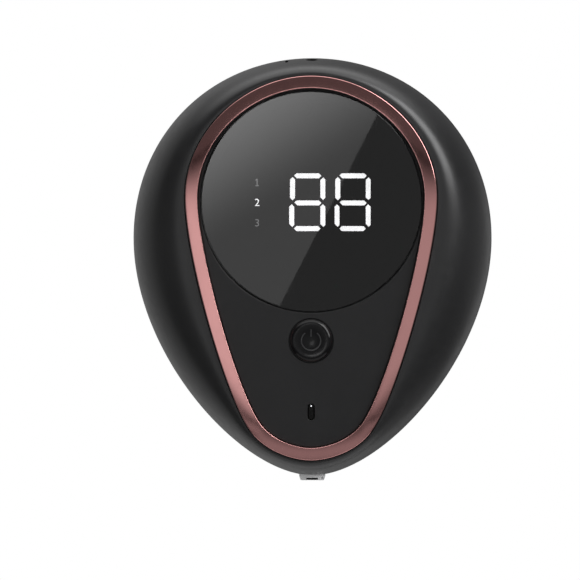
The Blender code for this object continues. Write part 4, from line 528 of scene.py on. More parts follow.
def fitted(piece, body, slot, finish, *replaced, angle=math.radians(30)):
    """Smooths a piece up to the angle, gives it its finish, and fixes it to its body."""
    piece.data.materials.clear()
    piece.data.materials.append(finish)
    piece.data.shade_smooth()
    piece.data.set_sharp_from_angle(angle=angle)
    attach(piece, body)
    if replaced:
        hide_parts(*replaced)
    return piece


def new_group(name, inputs, outputs):
    """A shader node group with its sockets and its two end nodes."""
    group = bpy.data.node_groups.new(name, "ShaderNodeTree")
    for label, kind, value in inputs:
        socket = group.interface.new_socket(label, in_out="INPUT", socket_type=kind)
        if value is not None:
            socket.default_value = value
    for label, kind in outputs:
        group.interface.new_socket(label, in_out="OUTPUT", socket_type=kind)
    return group, group.nodes.new("NodeGroupInput").outputs, group.nodes.new("NodeGroupOutput")


moulded, given, result = new_group(
    "moulded_surface",
    [
        ("Vector", "NodeSocketVector", None),
        ("Colour", "NodeSocketColor", (0.5, 0.5, 0.5, 1.0)),
        ("Mottle", "NodeSocketFloat", 0.1),
        ("Grain", "NodeSocketFloat", 2600.0),
        ("Roughness", "NodeSocketFloat", 0.4),
        ("Spread", "NodeSocketFloat", 0.08),
    ],
    [("Colour", "NodeSocketColor"), ("Roughness", "NodeSocketFloat"), ("Height", "NodeSocketFloat")],
)
pores = add(
    moulded,
    "ShaderNodeTexNoise",
    {"Vector": given["Vector"], "Scale": given["Grain"], "Detail": 3.0, "Roughness": 0.6},
).outputs["Fac"]
cloud = add(
    moulded, "ShaderNodeTexNoise", {"Vector": given["Vector"], "Scale": 55.0, "Detail": 4.0}
).outputs["Fac"]
smear = add(
    moulded,
    "ShaderNodeTexNoise",
    {"Vector": given["Vector"], "Scale": 160.0, "Detail": 5.0, "Distortion": 1.5},
).outputs["Fac"]
swing = maths(moulded, "MULTIPLY", between(moulded, cloud, 0.3, 0.7, -1.0, 1.0), given["Mottle"])
fleck = maths(moulded, "MULTIPLY", between(moulded, pores, 0.3, 0.7, -0.5, 0.5), given["Mottle"])
tone = maths(moulded, "ADD", maths(moulded, "ADD", swing, fleck), 1.0)
toned = add(moulded, "ShaderNodeVectorMath", {0: given["Colour"], "Scale": tone}, operation="SCALE")
drift = maths(moulded, "MULTIPLY", between(moulded, smear, 0.35, 0.65, -1.0, 1.0), given["Spread"])
moulded.links.new(toned.outputs[0], result.inputs["Colour"])
moulded.links.new(maths(moulded, "ADD", given["Roughness"], drift), result.inputs["Roughness"])
moulded.links.new(pores, result.inputs["Height"])

rubbed, given, result = new_group(
    "rubbed_edges",
    [
        ("Vector", "NodeSocketVector", None),
        ("Pointiness", "NodeSocketFloat", 0.5),
        ("Amount", "NodeSocketFloat", 0.5),
    ],
    [("Mask", "NodeSocketFloat")],
)
patches = add(
    rubbed, "ShaderNodeTexNoise", {"Vector": given["Vector"], "Scale": 420.0, "Detail": 6.0}
).outputs["Fac"]
sharp = between(rubbed, given["Pointiness"], 0.53, 0.62)
broken = maths(rubbed, "MULTIPLY", sharp, between(rubbed, patches, 0.35, 0.75))
rubbed.links.new(maths(rubbed, "MULTIPLY", broken, given["Amount"]), result.inputs["Mask"])

dusted, given, result = new_group(
    "settled_dust",
    [
        ("Vector", "NodeSocketVector", None),
        ("Normal", "NodeSocketVector", None),
        ("Amount", "NodeSocketFloat", 0.05),
    ],
    [("Mask", "NodeSocketFloat")],
)
motes = add(
    dusted, "ShaderNodeTexNoise", {"Vector": given["Vector"], "Scale": 900.0, "Detail": 6.0}
).outputs["Fac"]
lying = between(dusted, add(dusted, "ShaderNodeSeparateXYZ", {0: given["Normal"]}).outputs["Z"], 0.3, 1.0)
fallen = maths(dusted, "MULTIPLY", lying, between(dusted, motes, 0.4, 0.8))
dusted.links.new(maths(dusted, "MULTIPLY", fallen, given["Amount"]), result.inputs["Mask"])


def group_node(tree, group, inputs):
    """A placed node group's outputs. An input is a value or another node's socket."""
    made = tree.nodes.new("ShaderNodeGroup")
    made.node_tree = group
    for key, value in inputs.items():
        if isinstance(value, bpy.types.NodeSocket):
            tree.links.new(value, made.inputs[key])
        else:
            made.inputs[key].default_value = value
    return made.outputs


def mixed(tree, mask, first, second):
    """first (1 - mask) + second mask, for colours."""
    made = add(tree, "ShaderNodeMix", {0: mask, 6: first, 7: second}, data_type="RGBA")
    return made.outputs[2]


def surface(name, colour, roughness, **how):
    """A Principled finish on Object coordinates: mottled colour, grain, rubbed edges and settled dust.

    how: mottle, grain (per metre), depth (m), spread, worn (colour), wear, dust, and any of the shader's own
    sockets by name with underscores, each set on the socket itself.
    """
    made = bpy.data.materials.new(name)
    made.use_nodes = True
    tree = made.node_tree
    shader = tree.nodes["Principled BSDF"]
    vector = add(tree, "ShaderNodeTexCoord").outputs["Object"]
    geometry = add(tree, "ShaderNodeNewGeometry").outputs
    base = group_node(
        tree,
        moulded,
        {
            "Vector": vector,
            "Colour": (*colour, 1.0),
            "Mottle": how.pop("mottle", 0.10),
            "Grain": how.pop("grain", 2600.0),
            "Roughness": roughness,
            "Spread": how.pop("spread", 0.05),
        },
    )
    edges = group_node(
        tree,
        rubbed,
        {"Vector": vector, "Pointiness": geometry["Pointiness"], "Amount": how.pop("wear", 0.5)},
    )
    worn = how.pop("worn", tuple(min(1.0, part * 2.2 + 0.01) for part in colour))
    shown = mixed(tree, edges["Mask"], base["Colour"], (*worn, 1.0))
    dust = how.pop("dust", 0.04)
    if dust:
        lying = group_node(tree, dusted, {"Vector": vector, "Normal": geometry["Normal"], "Amount": dust})
        shown = mixed(tree, lying["Mask"], shown, (0.55, 0.53, 0.50, 1.0))
    tree.links.new(shown, shader.inputs["Base Color"])
    tree.links.new(base["Roughness"], shader.inputs["Roughness"])
    depth = how.pop("depth", 0.00002)
    if depth:
        bump = add(tree, "ShaderNodeBump", {"Height": base["Height"], "Distance": depth, "Strength": 0.6})
        tree.links.new(bump.outputs[0], shader.inputs["Normal"])
    for key, value in how.items():
        shader.inputs[key.replace("_", " ")].default_value = value
    return made


SHELL = surface(
    "charcoal_case",
    (0.010, 0.010, 0.0106),
    0.34,
    grain=3200.0,
    depth=0.000010,
    mottle=0.06,
    spread=0.02,
    wear=0.15,
    dust=0.02,
)

roll = np.linspace(ROLL_START, math.pi / 2, ROLL_STEPS)
crest = outline(RING_HALF, -GAP)
widest = outline(CASE_HALF, 0.0)
seam = PARTING - GAP / 2
rebate_floor = PARTING - REBATE_DEPTH
front_rows = [
    (outline(RING_HALF, FLANGE_WIDTH), FLANGE_FRONT),
    (outline(RING_HALF, FLANGE_WIDTH), FLANGE_BACK),
]
inner_edge = outline(RING_HALF, -GAP - RECESS_LIP)
inner_widest = outline(CASE_HALF, WALL)
for turn in np.linspace(0.0, math.pi / 2, ROLL_STEPS // 2):
    share = math.sin(turn) ** DOME_FULLNESS
    depth = rebate_floor + (FLANGE_BACK - rebate_floor) * math.cos(turn)
    front_rows.append((inner_edge + (inner_widest - inner_edge) * share, depth))
rebate = outline(CASE_HALF, REBATE_WIDTH)
front_rows += [(rebate, rebate_floor), (rebate, seam), (outline(CASE_HALF, SOFT_EDGE), seam)]
front_rows.append((widest, seam - SOFT_EDGE))
for turn in roll[::-1][1:]:
    share = math.sin(turn) ** DOME_FULLNESS
    front_rows.append((crest + (widest - crest) * share, seam + (CREST - seam) * math.cos(turn)))
front_rows += [(crest, CREST + SOFT_EDGE), (crest, FLANGE_FRONT)]
front_shell = skin("front_shell", np.array([at_depth(*row) for row in front_rows]), endless=True)

VENT = (-0.0089, -0.0340)
VENT_RADIUS = 0.00045
VENT_HEIGHT = CROWN_HEIGHT - 0.0013
VENT_MOUTH = 0.00058
VENT_LIP = -0.0430
VENT_FALL = 0.06
NOZZLE_DEPTH = -0.0335
NOZZLE_HOLE = 0.00495
TOE_INSIDE = -0.0808
TOE_OUTSIDE = -0.0878
POLE_TURN = 0.02
DENT_PLACE = np.array([0.0, -0.0440, CROWN_HEIGHT - 0.0007])
DENT_HALF = np.array([0.0022, 0.0060, 0.00045])
dent_turn = np.linspace(POLE_TURN, math.pi - POLE_TURN, 40)
dent = turned(np.stack([np.sin(dent_turn), np.cos(dent_turn)], axis=1), (0.0, 0.0, 0.0), "Z", 48)
vent_start = (VENT[0], VENT[1] + VENT_MOUTH, VENT_HEIGHT)
vent_mouth = drum(vent_start, (VENT[0], CREST, VENT_HEIGHT), VENT_MOUTH, 32)
vent_mouth[..., 2] -= VENT_FALL * (vent_mouth[..., 1] - VENT_LIP)
carved(
    front_shell,
    "DIFFERENCE",
    vent_mouth,
    drum((0.0, NOZZLE_DEPTH, TOE_INSIDE), (0.0, NOZZLE_DEPTH, TOE_OUTSIDE), NOZZLE_HOLE, 64),
    dent * DENT_HALF + DENT_PLACE,
)
carved(
    front_shell,
    "DIFFERENCE",
    drum((*VENT, CROWN_HEIGHT / 2), (*VENT, VENT_HEIGHT - VENT_RADIUS), VENT_RADIUS, 24),
)
fitted(front_shell, "housing", "shell", SHELL, "front_housing")

POCKET_HALF = 0.0273
POCKET_FRONT = -0.0068
POCKET_LIP = -0.0035
POCKET_TOP = 0.0153
POCKET_STEP = -0.0156
POCKET_LOW = -0.0463
POCKET_WALL = 0.0016
STEM_HALF = 0.0220
OVER = 0.002
WITHIN = BACK - WALL / 2
SCREW_PLACES = ((-0.0440, 0.0080), (0.0440, 0.0080), (-0.0340, -0.0380), (0.0340, -0.0380))
HEAD_FLOOR = -0.0046
HEAD_SPACE = 0.00305
BOSS_RADIUS = 0.0037
SCREW_BORE = 0.0018
CHARGE_HEIGHT = -0.0560
CHARGE_SHELF = ((-0.0080, -0.0133, -0.0610), (0.0080, WITHIN, -0.0594))
SENSOR_RIB = ((-0.0040, -0.0150, -0.0721), (0.0040, WITHIN, -0.0705))
LID_OPENING = ((-0.0083, -0.0235, 0.0567), (0.0083, -0.0066, CROWN_HEIGHT + OVER))
EYE_DEPTH = -0.0150
EYE_HOLE = 0.0039
EYE_HOLE_TOP = -0.0787
COVER_RECESS = ((-0.0097, -0.0024, CHARGE_HEIGHT - 0.0043), (0.0083, OVER, CHARGE_HEIGHT + 0.0043))
SOCKET_OPENING = ((-0.00477, -0.0057, CHARGE_HEIGHT - 0.0019), (0.00477, OVER, CHARGE_HEIGHT + 0.0019))
PIN_REACH = 0.0098
PIN_PLACE = (-0.0086, 0.0594)
PIN_BORE = 0.00065

seam = PARTING + GAP / 2
rebate_floor = PARTING + REBATE_DEPTH
back_rows = []
for turn in np.linspace(math.pi / 2, 0.0, ROLL_STEPS // 2):
    depth = rebate_floor + (BACK - WALL - rebate_floor) * math.sin(turn)
    back_rows.append((outline(CASE_HALF, WALL + BACK_ROUND * (1 - math.cos(turn))), depth))
back_rows += [(rebate, rebate_floor), (rebate, seam), (outline(CASE_HALF, SOFT_EDGE), seam)]
back_rows.append((widest, seam + SOFT_EDGE))
for turn in np.linspace(0.0, math.pi / 2, ROLL_STEPS)[1:]:
    back_rows.append(
        (outline(CASE_HALF, BACK_ROUND * (1 - math.cos(turn))), seam + (BACK - seam) * math.sin(turn))
    )
back_rows = back_rows[:-1] + [(outline(CASE_HALF, BACK_ROUND + SOFT_EDGE), BACK)]
rear_shell = skin("rear_shell", np.array([at_depth(*row) for row in back_rows]))
bosses = [drum((x, seam, z), (x, HEAD_FLOOR - 0.0006, z), BOSS_RADIUS) for x, z in SCREW_PLACES]
collars = [drum((x, HEAD_FLOOR - 0.0012, z), (x, WITHIN, z), HEAD_SPACE + 0.0012) for x, z in SCREW_PLACES]
carved(
    rear_shell,
    "UNION",
    block(
        (-POCKET_HALF - POCKET_WALL, POCKET_FRONT - POCKET_WALL, POCKET_LOW - POCKET_WALL),
        (POCKET_HALF + POCKET_WALL, WITHIN, POCKET_TOP + POCKET_WALL),
    ),
    block(*CHARGE_SHELF),
    block(*SENSOR_RIB),
    *bosses,
)
carved(rear_shell, "UNION", *collars)
carved(
    rear_shell,
    "DIFFERENCE",
    block((-POCKET_HALF, POCKET_FRONT, POCKET_LOW), (POCKET_HALF, POCKET_LIP, POCKET_TOP)),
    block(*LID_OPENING),
    drum((0.0, EYE_DEPTH, EYE_HOLE_TOP), (0.0, EYE_DEPTH, -TOE_DEPTH - OVER), EYE_HOLE),
    block(*COVER_RECESS),
    *[drum((x, HEAD_FLOOR, z), (x, OVER, z), HEAD_SPACE) for x, z in SCREW_PLACES],
)
carved(
    rear_shell,
    "DIFFERENCE",
    block((-POCKET_HALF, POCKET_LIP - GAP, POCKET_LOW), (POCKET_HALF, OVER, POCKET_STEP)),
    block(*SOCKET_OPENING),
    drum((-PIN_REACH, *PIN_PLACE), (PIN_REACH, *PIN_PLACE), PIN_BORE),
    *[drum((x, PARTING - OVER, z), (x, WITHIN, z), SCREW_BORE) for x, z in SCREW_PLACES],
)
carved(
    rear_shell,
    "DIFFERENCE",
    block((-STEM_HALF - GAP, POCKET_LIP - GAP, POCKET_STEP - GAP), (STEM_HALF + GAP, OVER, POCKET_TOP)),
)
fitted(rear_shell, "housing", "shell", SHELL, "rear_housing")

# The filler lid: a small moulded flap in the crown of the rear half, with a rounded finger notch in its
# front edge. It follows the bowl's surface and turns on a steel pin at its back edge.

LID_HALF = 0.0080
LID_FRONT = -0.0232
LID_BACK = -0.0078
LID_FLOOR = 0.0589
NOTCH_DEPTH = LID_FRONT - 0.0004
NOTCH_FLOOR = CROWN_HEIGHT - 0.0016
NOTCH_RADIUS = 0.0026
PIN_OVER = 0.0002

lid_rows = [(outline(CASE_HALF, 0.0), PARTING)]
for turn in np.linspace(0.0, math.pi / 2, ROLL_STEPS)[1:]:
    lid_rows.append(
        (outline(CASE_HALF, BACK_ROUND * (1 - math.cos(turn))), PARTING + (BACK - PARTING) * math.sin(turn))
    )
lid = skin("lid_flap", np.array([at_depth(*row) for row in lid_rows]))
carved(lid, "INTERSECT", block((-LID_HALF, LID_FRONT, LID_FLOOR), (LID_HALF, LID_BACK, CROWN_HEIGHT + OVER)))
carved(
    lid,
    "DIFFERENCE",
    drum((0.0, NOTCH_DEPTH, NOTCH_FLOOR), (0.0, NOTCH_DEPTH, CROWN_HEIGHT + OVER), NOTCH_RADIUS),
    drum((-PIN_REACH - PIN_OVER, *PIN_PLACE), (PIN_REACH + PIN_OVER, *PIN_PLACE), PIN_BORE),
)
fitted(lid, "lid", "shell", SHELL, "filler_lid")

# The trim ring: one formed aluminium band, satin brushed and anodised rose gold. Its front is crowned and its
# two shoulders roll into straight sides, which sit in the recess of the front half.

BAND = 0.00435
BAND_FRONT = -0.0600
BAND_BACK = -0.0552
BAND_FALL = 0.0008
BAND_OUTER_EDGE = 0.00032
BAND_INNER_EDGE = 0.00030

ROSE = surface(
    "rose_gold_anodised",
    (0.60, 0.30, 0.29),
    0.13,
    Metallic=1.0,
    mottle=0.02,
    grain=5200.0,
    depth=0.000001,
    spread=0.01,
    worn=(0.80, 0.62, 0.58),
    wear=0.0,
    dust=0.0,
)
band_corners = [
    (0.0, BAND_BACK),
    (0.0, BAND_FRONT + BAND_FALL),
    (BAND, BAND_FRONT),
    (BAND, BAND_BACK),
]
band_rows = np.concatenate(
    [eased(band_corners[:3], BAND_OUTER_EDGE, 7)[:-1], eased(band_corners[1:], BAND_INNER_EDGE, 7)[1:]]
)
band = skin(
    "rose_gold_band",
    np.array([at_depth(outline(RING_HALF, inset), depth) for inset, depth in band_rows]),
    endless=True,
)
fitted(band, "housing", "ring", ROSE, "trim_ring", angle=math.radians(50))

# The front panel: a flat satin black plate inside the ring, with a stepped seat for the lens, a chamfered
# round hole for the power button and a slot for the status light.

PANEL_FRONT = -0.0576
PANEL_BACK = -0.0552
LENS_RADIUS = 0.03905
LENS_HEIGHT = 0.0129
LENS_THICK = 0.0014
BUTTON_HEIGHT = -0.0363
BUTTON_RADIUS = 0.00745
SLOT_HEIGHT = -0.0615
PANEL_CHAMFER = 0.00025
SLOT_EDGE = 0.00008
SLOT_SIZE = (0.0025, 0.0060)
LENS_LEDGE = 0.0018

PANEL = surface(
    "satin_panel",
    (0.007, 0.007, 0.0075),
    0.42,
    grain=4200.0,
    depth=0.000008,
    mottle=0.08,
    wear=0.0,
    dust=0.0,
    Specular_IOR_Level=0.36,
)
panel_edge = outline(RING_HALF, BAND + GAP)
panel_rows = [
    (panel_edge, PANEL_BACK),
    (panel_edge, PANEL_FRONT + PANEL_CHAMFER),
    (outline(RING_HALF, BAND + GAP + PANEL_CHAMFER), PANEL_FRONT),
]
panel = skin("panel_plate", np.array([at_depth(*row) for row in panel_rows]))
seat = LENS_RADIUS + GAP
hole = BUTTON_RADIUS + GAP
carved(
    panel,
    "DIFFERENCE",
    turned(
        [
            (seat, PANEL_FRONT + LENS_THICK + GAP),
            (seat, PANEL_FRONT + PANEL_CHAMFER),
            (seat + OVER + PANEL_CHAMFER, PANEL_FRONT - OVER),
        ],
        (0.0, 0.0, LENS_HEIGHT),
        "Y",
        256,
    ),
    turned(
        [
            (hole, PANEL_BACK + OVER),
            (hole, PANEL_FRONT + PANEL_CHAMFER),
            (hole + OVER + PANEL_CHAMFER, PANEL_FRONT - OVER),
        ],
        (0.0, 0.0, BUTTON_HEIGHT),
        "Y",
        128,
    ),
)


def stadium(width, height, inset, count=64):
    """(x, z) outline of a slot with round ends: each point of a circle, moved up or down by the straight half."""
    turn = np.linspace(0.0, 2 * math.pi, count, endpoint=False)
    radius = width / 2 - inset
    rise = np.where(np.cos(turn) >= 0, 1.0, -1.0) * (height - width) / 2
    return np.stack([radius * np.sin(turn), radius * np.cos(turn) + rise], axis=1)


slot_rows = [
    (stadium(*SLOT_SIZE, 0.0), PANEL_BACK + OVER),
    (stadium(*SLOT_SIZE, 0.0), PANEL_FRONT + SLOT_EDGE),
    (stadium(*SLOT_SIZE, -OVER), PANEL_FRONT - OVER + SLOT_EDGE),
]
slot_tool = np.array([at_depth(points + [0.0, SLOT_HEIGHT], depth) for points, depth in slot_rows])
view_start, view_end = (0.0, PANEL_BACK + OVER, LENS_HEIGHT), (0.0, PANEL_FRONT - OVER, LENS_HEIGHT)
carved(panel, "DIFFERENCE", drum(view_start, view_end, seat - LENS_LEDGE, 192), slot_tool)
fitted(panel, "housing", "panel", PANEL, "front_panel", angle=math.radians(4))

# The display lens: a flat disc of smoked acrylic with a polished, finely broken edge. The digits glow through
# it and its face mirrors the room.

LENS = surface(
    "smoked_acrylic",
    (0.030, 0.030, 0.031),
    0.008,
    mottle=0.03,
    grain=300.0,
    depth=0.0,
    spread=0.003,
    wear=0.0,
    dust=0.0,
    Transmission_Weight=1.0,
    IOR=1.49,
)
LENS_BEVEL = 0.0003
POLE = 0.0002
rim = eased(
    [
        (LENS_RADIUS - 2 * LENS_BEVEL, PANEL_FRONT),
        (LENS_RADIUS, PANEL_FRONT),
        (LENS_RADIUS, PANEL_FRONT + LENS_THICK),
        (LENS_RADIUS - 2 * LENS_BEVEL, PANEL_FRONT + LENS_THICK),
    ],
    LENS_BEVEL,
)
lens_profile = [(POLE, PANEL_FRONT), *rim, (POLE, PANEL_FRONT + LENS_THICK)]
lens = skin("smoked_disc", turned(lens_profile, (0.0, 0.0, LENS_HEIGHT), "Y", 256))
fitted(lens, "housing", "lens", LENS, "display_lens")

# The display behind it: a black block with a window for each bar, milky bars that glow white, and three
# level numbers, of which the middle one is lit.


lit_face, given, result = new_group(
    "lit_front_face",
    [
        ("Vector", "NodeSocketVector", None),
        ("Normal", "NodeSocketVector", None),
        ("Colour", "NodeSocketColor", (0.9, 0.9, 0.9, 1.0)),
    ],
    [("Colour", "NodeSocketColor")],
)
haze = add(lit_face, "ShaderNodeTexNoise", {"Vector": given["Vector"], "Scale": 320.0}).outputs["Fac"]
facing = add(lit_face, "ShaderNodeSeparateXYZ", {0: given["Normal"]}).outputs["Y"]
lit = between(lit_face, facing, -0.5, -0.9)
level = maths(lit_face, "MULTIPLY", between(lit_face, haze, 0.3, 0.7, 0.90, 1.0), lit)
tone = add(lit_face, "ShaderNodeVectorMath", {0: given["Colour"], "Scale": level}, operation="SCALE")
lit_face.links.new(tone.outputs[0], result.inputs["Colour"])


def glowing(name, colour, strength):
    """A milky plastic whose front face glows, a little unevenly, as a light guide does over its lamp."""
    made = surface(name, colour, 0.35, grain=900.0, depth=0.0, mottle=0.03, wear=0.0, dust=0.0)
    tree = made.node_tree
    shader = tree.nodes["Principled BSDF"]
    vector = add(tree, "ShaderNodeTexCoord").outputs["Object"]
    normal = add(tree, "ShaderNodeNewGeometry").outputs["True Normal"]
    glow = group_node(tree, lit_face, {"Vector": vector, "Normal": normal, "Colour": (*colour, 1.0)})
    tree.links.new(glow["Colour"], shader.inputs["Emission Color"])
    shader.inputs["Emission Strength"].default_value = strength
    return made


DIGIT_GLOW = glowing("lit_guide", (0.90, 0.90, 0.88), 40.0)
DIM_GLOW = glowing("dim_guide", (0.50, 0.50, 0.49), 11.0)
MASK_BLACK = surface("mask_black", (0.004, 0.004, 0.004), 0.6, wear=0.1, dust=0.0)
UNLIT = surface("unlit_guide", (0.02, 0.02, 0.02), 0.5, wear=0.0, dust=0.0)

LEVEL_SIDE = -0.0191
LEVEL_PITCH = 0.0072
LEVEL_SIZE = 0.0037
NUMBER_DEPTH = -0.05602
NUMBER_THICK = 0.00008
DIGIT_CENTRE = 0.0127
BAR_THICK = 0.00175
BAR_FRONT = -0.0556
BAR_BACK = -0.0531
BAR_EASE = 0.00018
DIGIT_SIDE = 0.00535
DIGIT_RISE = 0.0094
LEAN = 0.0003


def bar(x, z, length, upright):
    """A light bar with pointed, eased ends: a hexagonal outline on which each side is rounded off at its ends."""
    tip, thick = length / 2, BAR_THICK / 2
    corners = [(-tip, 0.0), (-tip + thick, -thick), (tip - thick, -thick), (tip, 0.0), (tip - thick, thick)]
    corners.append((-tip + thick, thick))
    round_trip = [((-tip + thick) / 2, -thick)] + corners[2:] + corners[:2] + [((-tip + thick) / 2, -thick)]
    points = eased(round_trip, BAR_EASE)[:-1]
    if upright:
        points = points[:, ::-1] * [-1.0, 1.0]
    points = points + [x, z]
    return np.array([at_depth(points, BAR_FRONT), at_depth(points, BAR_BACK)])


for name, digit_side, replaced in (
    ("digit_tens", -0.00125, "tens_digit_guide"),
    ("digit_units", 0.01475, "units_digit_guide"),
):
    bars = []
    for step in (-1, 0, 1):
        sway = -LEAN if step < 0 else 0.0
        sunk = (0.0, 0.00035, 0.00015)[step + 1]
        bars.append(bar(digit_side + sway, DIGIT_CENTRE - sunk + step * DIGIT_RISE, 0.0097, False))
    for step in (-0.5, 0.5):
        for across in (-1, 1):
            sway = -LEAN if step < 0 and across < 0 else 0.0
            x = digit_side + across * DIGIT_SIDE + sway
            sunk = 0.00020 if step < 0 else 0.0
            bars.append(bar(x, DIGIT_CENTRE - sunk + step * DIGIT_RISE, 0.0082, True))
    fitted(joined(name, bars), "housing", "light", DIGIT_GLOW, replaced)


ONE_HEIGHT = 0.0026
ONE_OUTLINE = np.array(
    [
        (-0.24, 0.0),
        (0.24, 0.0),
        (0.24, 0.13),
        (0.08, 0.13),
        (0.08, 1.0),
        (-0.06, 1.0),
        (-0.24, 0.86),
        (-0.24, 0.72),
        (-0.08, 0.80),
        (-0.08, 0.13),
        (-0.24, 0.13),
    ]
)
one = ONE_OUTLINE * ONE_HEIGHT + [LEVEL_SIDE, DIGIT_CENTRE - 0.0003 + LEVEL_PITCH - ONE_HEIGHT / 2]
half_thick = NUMBER_THICK / 2
count = len(one)
points = np.concatenate([at_depth(one, NUMBER_DEPTH - half_thick), at_depth(one, NUMBER_DEPTH + half_thick)])
here = np.arange(count)
beside = np.roll(here, -1)
sides = np.stack([here, here + count, beside + count, beside], axis=1).tolist()
faces = [here.tolist(), (here + count)[::-1].tolist(), *sides]
fitted(plain_mesh("level_number_1", points, faces), "housing", "light", DIM_GLOW)

for number in (2, 3):
    text = bpy.data.curves.new(f"level_{number}", "FONT")
    text.body = str(number)
    text.align_x = "CENTER"
    text.align_y = "CENTER"
    text.size = LEVEL_SIZE * 1000
    text.extrude = NUMBER_THICK * 500
    written = bpy.data.objects.new("written", text)
    scene.collection.objects.link(written)
    graph = bpy.context.evaluated_depsgraph_get()
    mesh = bpy.data.meshes.new_from_object(written.evaluated_get(graph))
    bpy.data.objects.remove(written)
    flat = np.zeros(len(mesh.vertices) * 3)
    mesh.vertices.foreach_get("co", flat)
    flat = flat.reshape(-1, 3) / 1000
    up = DIGIT_CENTRE - 0.0003 + (2 - number) * LEVEL_PITCH
    stood = np.stack([flat[:, 0] + LEVEL_SIDE, NUMBER_DEPTH - flat[:, 2], flat[:, 1] + up], axis=1)
    mesh.vertices.foreach_set("co", stood.ravel())
    mesh.name = f"level_number_{number}"
    shown = bpy.data.objects.new(f"level_number_{number}", mesh)
    scene.collection.objects.link(shown)
    fitted(shown, "housing", "light", DIGIT_GLOW if number == 2 else DIM_GLOW)

# The power button: a domed cap, injection moulded in gloss black, with the ring and bar of the power symbol
# printed on it. It shows above the panel and is held behind it by its flange.

GLOSS = surface(
    "gloss_black",
    (0.004, 0.004, 0.0045),
    0.12,
    mottle=0.05,
    grain=400.0,
    depth=0.0,
    spread=0.03,
    wear=0.0,
    dust=0.0,
    Specular_IOR_Level=0.22,
)
BUTTON_TOP = PANEL_FRONT - 0.0002
BUTTON_DOME = 0.0009
BUTTON_CREST = 0.80
BUTTON_DISH = 0.40
CAP_FACE = -0.0549
CAP_BACK = -0.0540
CAP_FLANGE = 0.0014


def dome_depth(radius):
    """Depth of the cap's face, with s as the radius over the crest's: inside the crest the height is
    1 - dish (1 - s^2)^2, and outside it 1 - (share of the way to the rim)^2."""
    part = np.minimum(np.asarray(radius) / BUTTON_RADIUS, 1.0)
    inner = 1 - BUTTON_DISH * (1 - np.minimum(part / BUTTON_CREST, 1.0) ** 2) ** 2
    fall = np.maximum(part - BUTTON_CREST, 0.0) / (1 - BUTTON_CREST)
    return BUTTON_TOP - BUTTON_DOME * (inner - fall**2)


cap_reach = np.linspace(0.01, 1.0, 48) * BUTTON_RADIUS
cap_flange = [
    (BUTTON_RADIUS, CAP_FACE),
    (BUTTON_RADIUS + CAP_FLANGE, CAP_FACE),
    (BUTTON_RADIUS + CAP_FLANGE, CAP_BACK),
    (POLE, CAP_BACK),
]
cap_profile = np.concatenate([np.stack([cap_reach, dome_depth(cap_reach)], axis=1), cap_flange])
cap = skin("button_dome", turned(cap_profile, (0.0, 0.0, BUTTON_HEIGHT), "Y", 128))
fitted(cap, "button", "gloss", GLOSS, "button_cap")

PRINT = surface("grey_print", (0.016, 0.016, 0.017), 0.3, grain=3000.0, depth=0.0, wear=0.0, dust=0.0)
SYMBOL_RADIUS = 0.0034
SYMBOL_LINE = 0.00045
PRINT_THICK = 0.00002


def printed(name, path, width):
    """A thin printed line on the cap: a band of the width along an (x, z) path, laid at the dome's depth, with
    a front row on each side and the same rows again, a print's thickness deeper."""
    path = np.array(path)
    ahead = np.gradient(path, axis=0)
    side = np.stack([-ahead[:, 1], ahead[:, 0]], axis=1)
    side /= np.linalg.norm(side, axis=1)[:, None]
    rows = []
    for sway, sunk in ((-0.5, 0.0), (0.5, 0.0), (0.5, 1.0), (-0.5, 1.0)):
        points = path + side * width * sway
        depth = dome_depth(np.hypot(*points.T)) - PRINT_THICK / 2 + PRINT_THICK * sunk
        rows.append(np.stack([points[:, 0], depth, points[:, 1] + BUTTON_HEIGHT], axis=1))
    return skin(name, np.array(rows).transpose(1, 0, 2))


turn = np.linspace(math.radians(38), math.radians(322), 64)
arc = np.stack([SYMBOL_RADIUS * np.sin(turn), SYMBOL_RADIUS * np.cos(turn)], axis=1)
fitted(printed("power_ring", arc, SYMBOL_LINE), "button", "gloss", PRINT)
bar = np.stack([np.zeros(12), np.linspace(0.0014, 0.0040, 12)], axis=1)
fitted(printed("power_bar", bar, SYMBOL_LINE), "button", "gloss", PRINT)

# The status light: a slot of smoked plastic, moulded and pressed into the panel from behind. The small
# bright spot of its lamp shows near the top.

GUIDE_SIZE = (0.0019, 0.0054)
GUIDE_EDGE = 0.0002
GUIDE_BACK = -0.0509
SPOT_RADIUS = 0.00024
SPOT_RISE = 0.00003
SPOT_THICK = 0.0002
SPOT_HEIGHT = -0.0594

guide_rows = [
    (stadium(*GUIDE_SIZE, 0.0), GUIDE_BACK),
    (stadium(*GUIDE_SIZE, 0.0), PANEL_FRONT + GUIDE_EDGE),
    (stadium(*GUIDE_SIZE, GUIDE_EDGE), PANEL_FRONT),
]
guide = skin("status_window", np.array([at_depth(p + [0.0, SLOT_HEIGHT], depth) for p, depth in guide_rows]))
SMOKED = surface(
    "smoked_slot", (0.003, 0.003, 0.003), 0.35, depth=0.0, wear=0.0, dust=0.0, Specular_IOR_Level=0.12
)
fitted(guide, "housing", "gloss", SMOKED, "status_light_guide")
spot_turn = np.linspace(0.05, math.pi / 2, 8)
spot_dome = np.stack([SPOT_RADIUS * np.sin(spot_turn), -SPOT_RISE * np.cos(spot_turn)], axis=1)
spot_profile = np.concatenate([spot_dome, [(SPOT_RADIUS, SPOT_THICK)]])
spot = skin("status_spot", turned(spot_profile, (0.0, PANEL_FRONT, SPOT_HEIGHT), "Y", 24))
fitted(spot, "housing", "light", glowing("status_glow", (0.90, 0.92, 0.95), 0.7))

# The nozzle: a light grey moulded spout that stands out of the toe, its mouth cut open towards the front,
# with a small drain hole beside it. The dark sensor window is behind it.

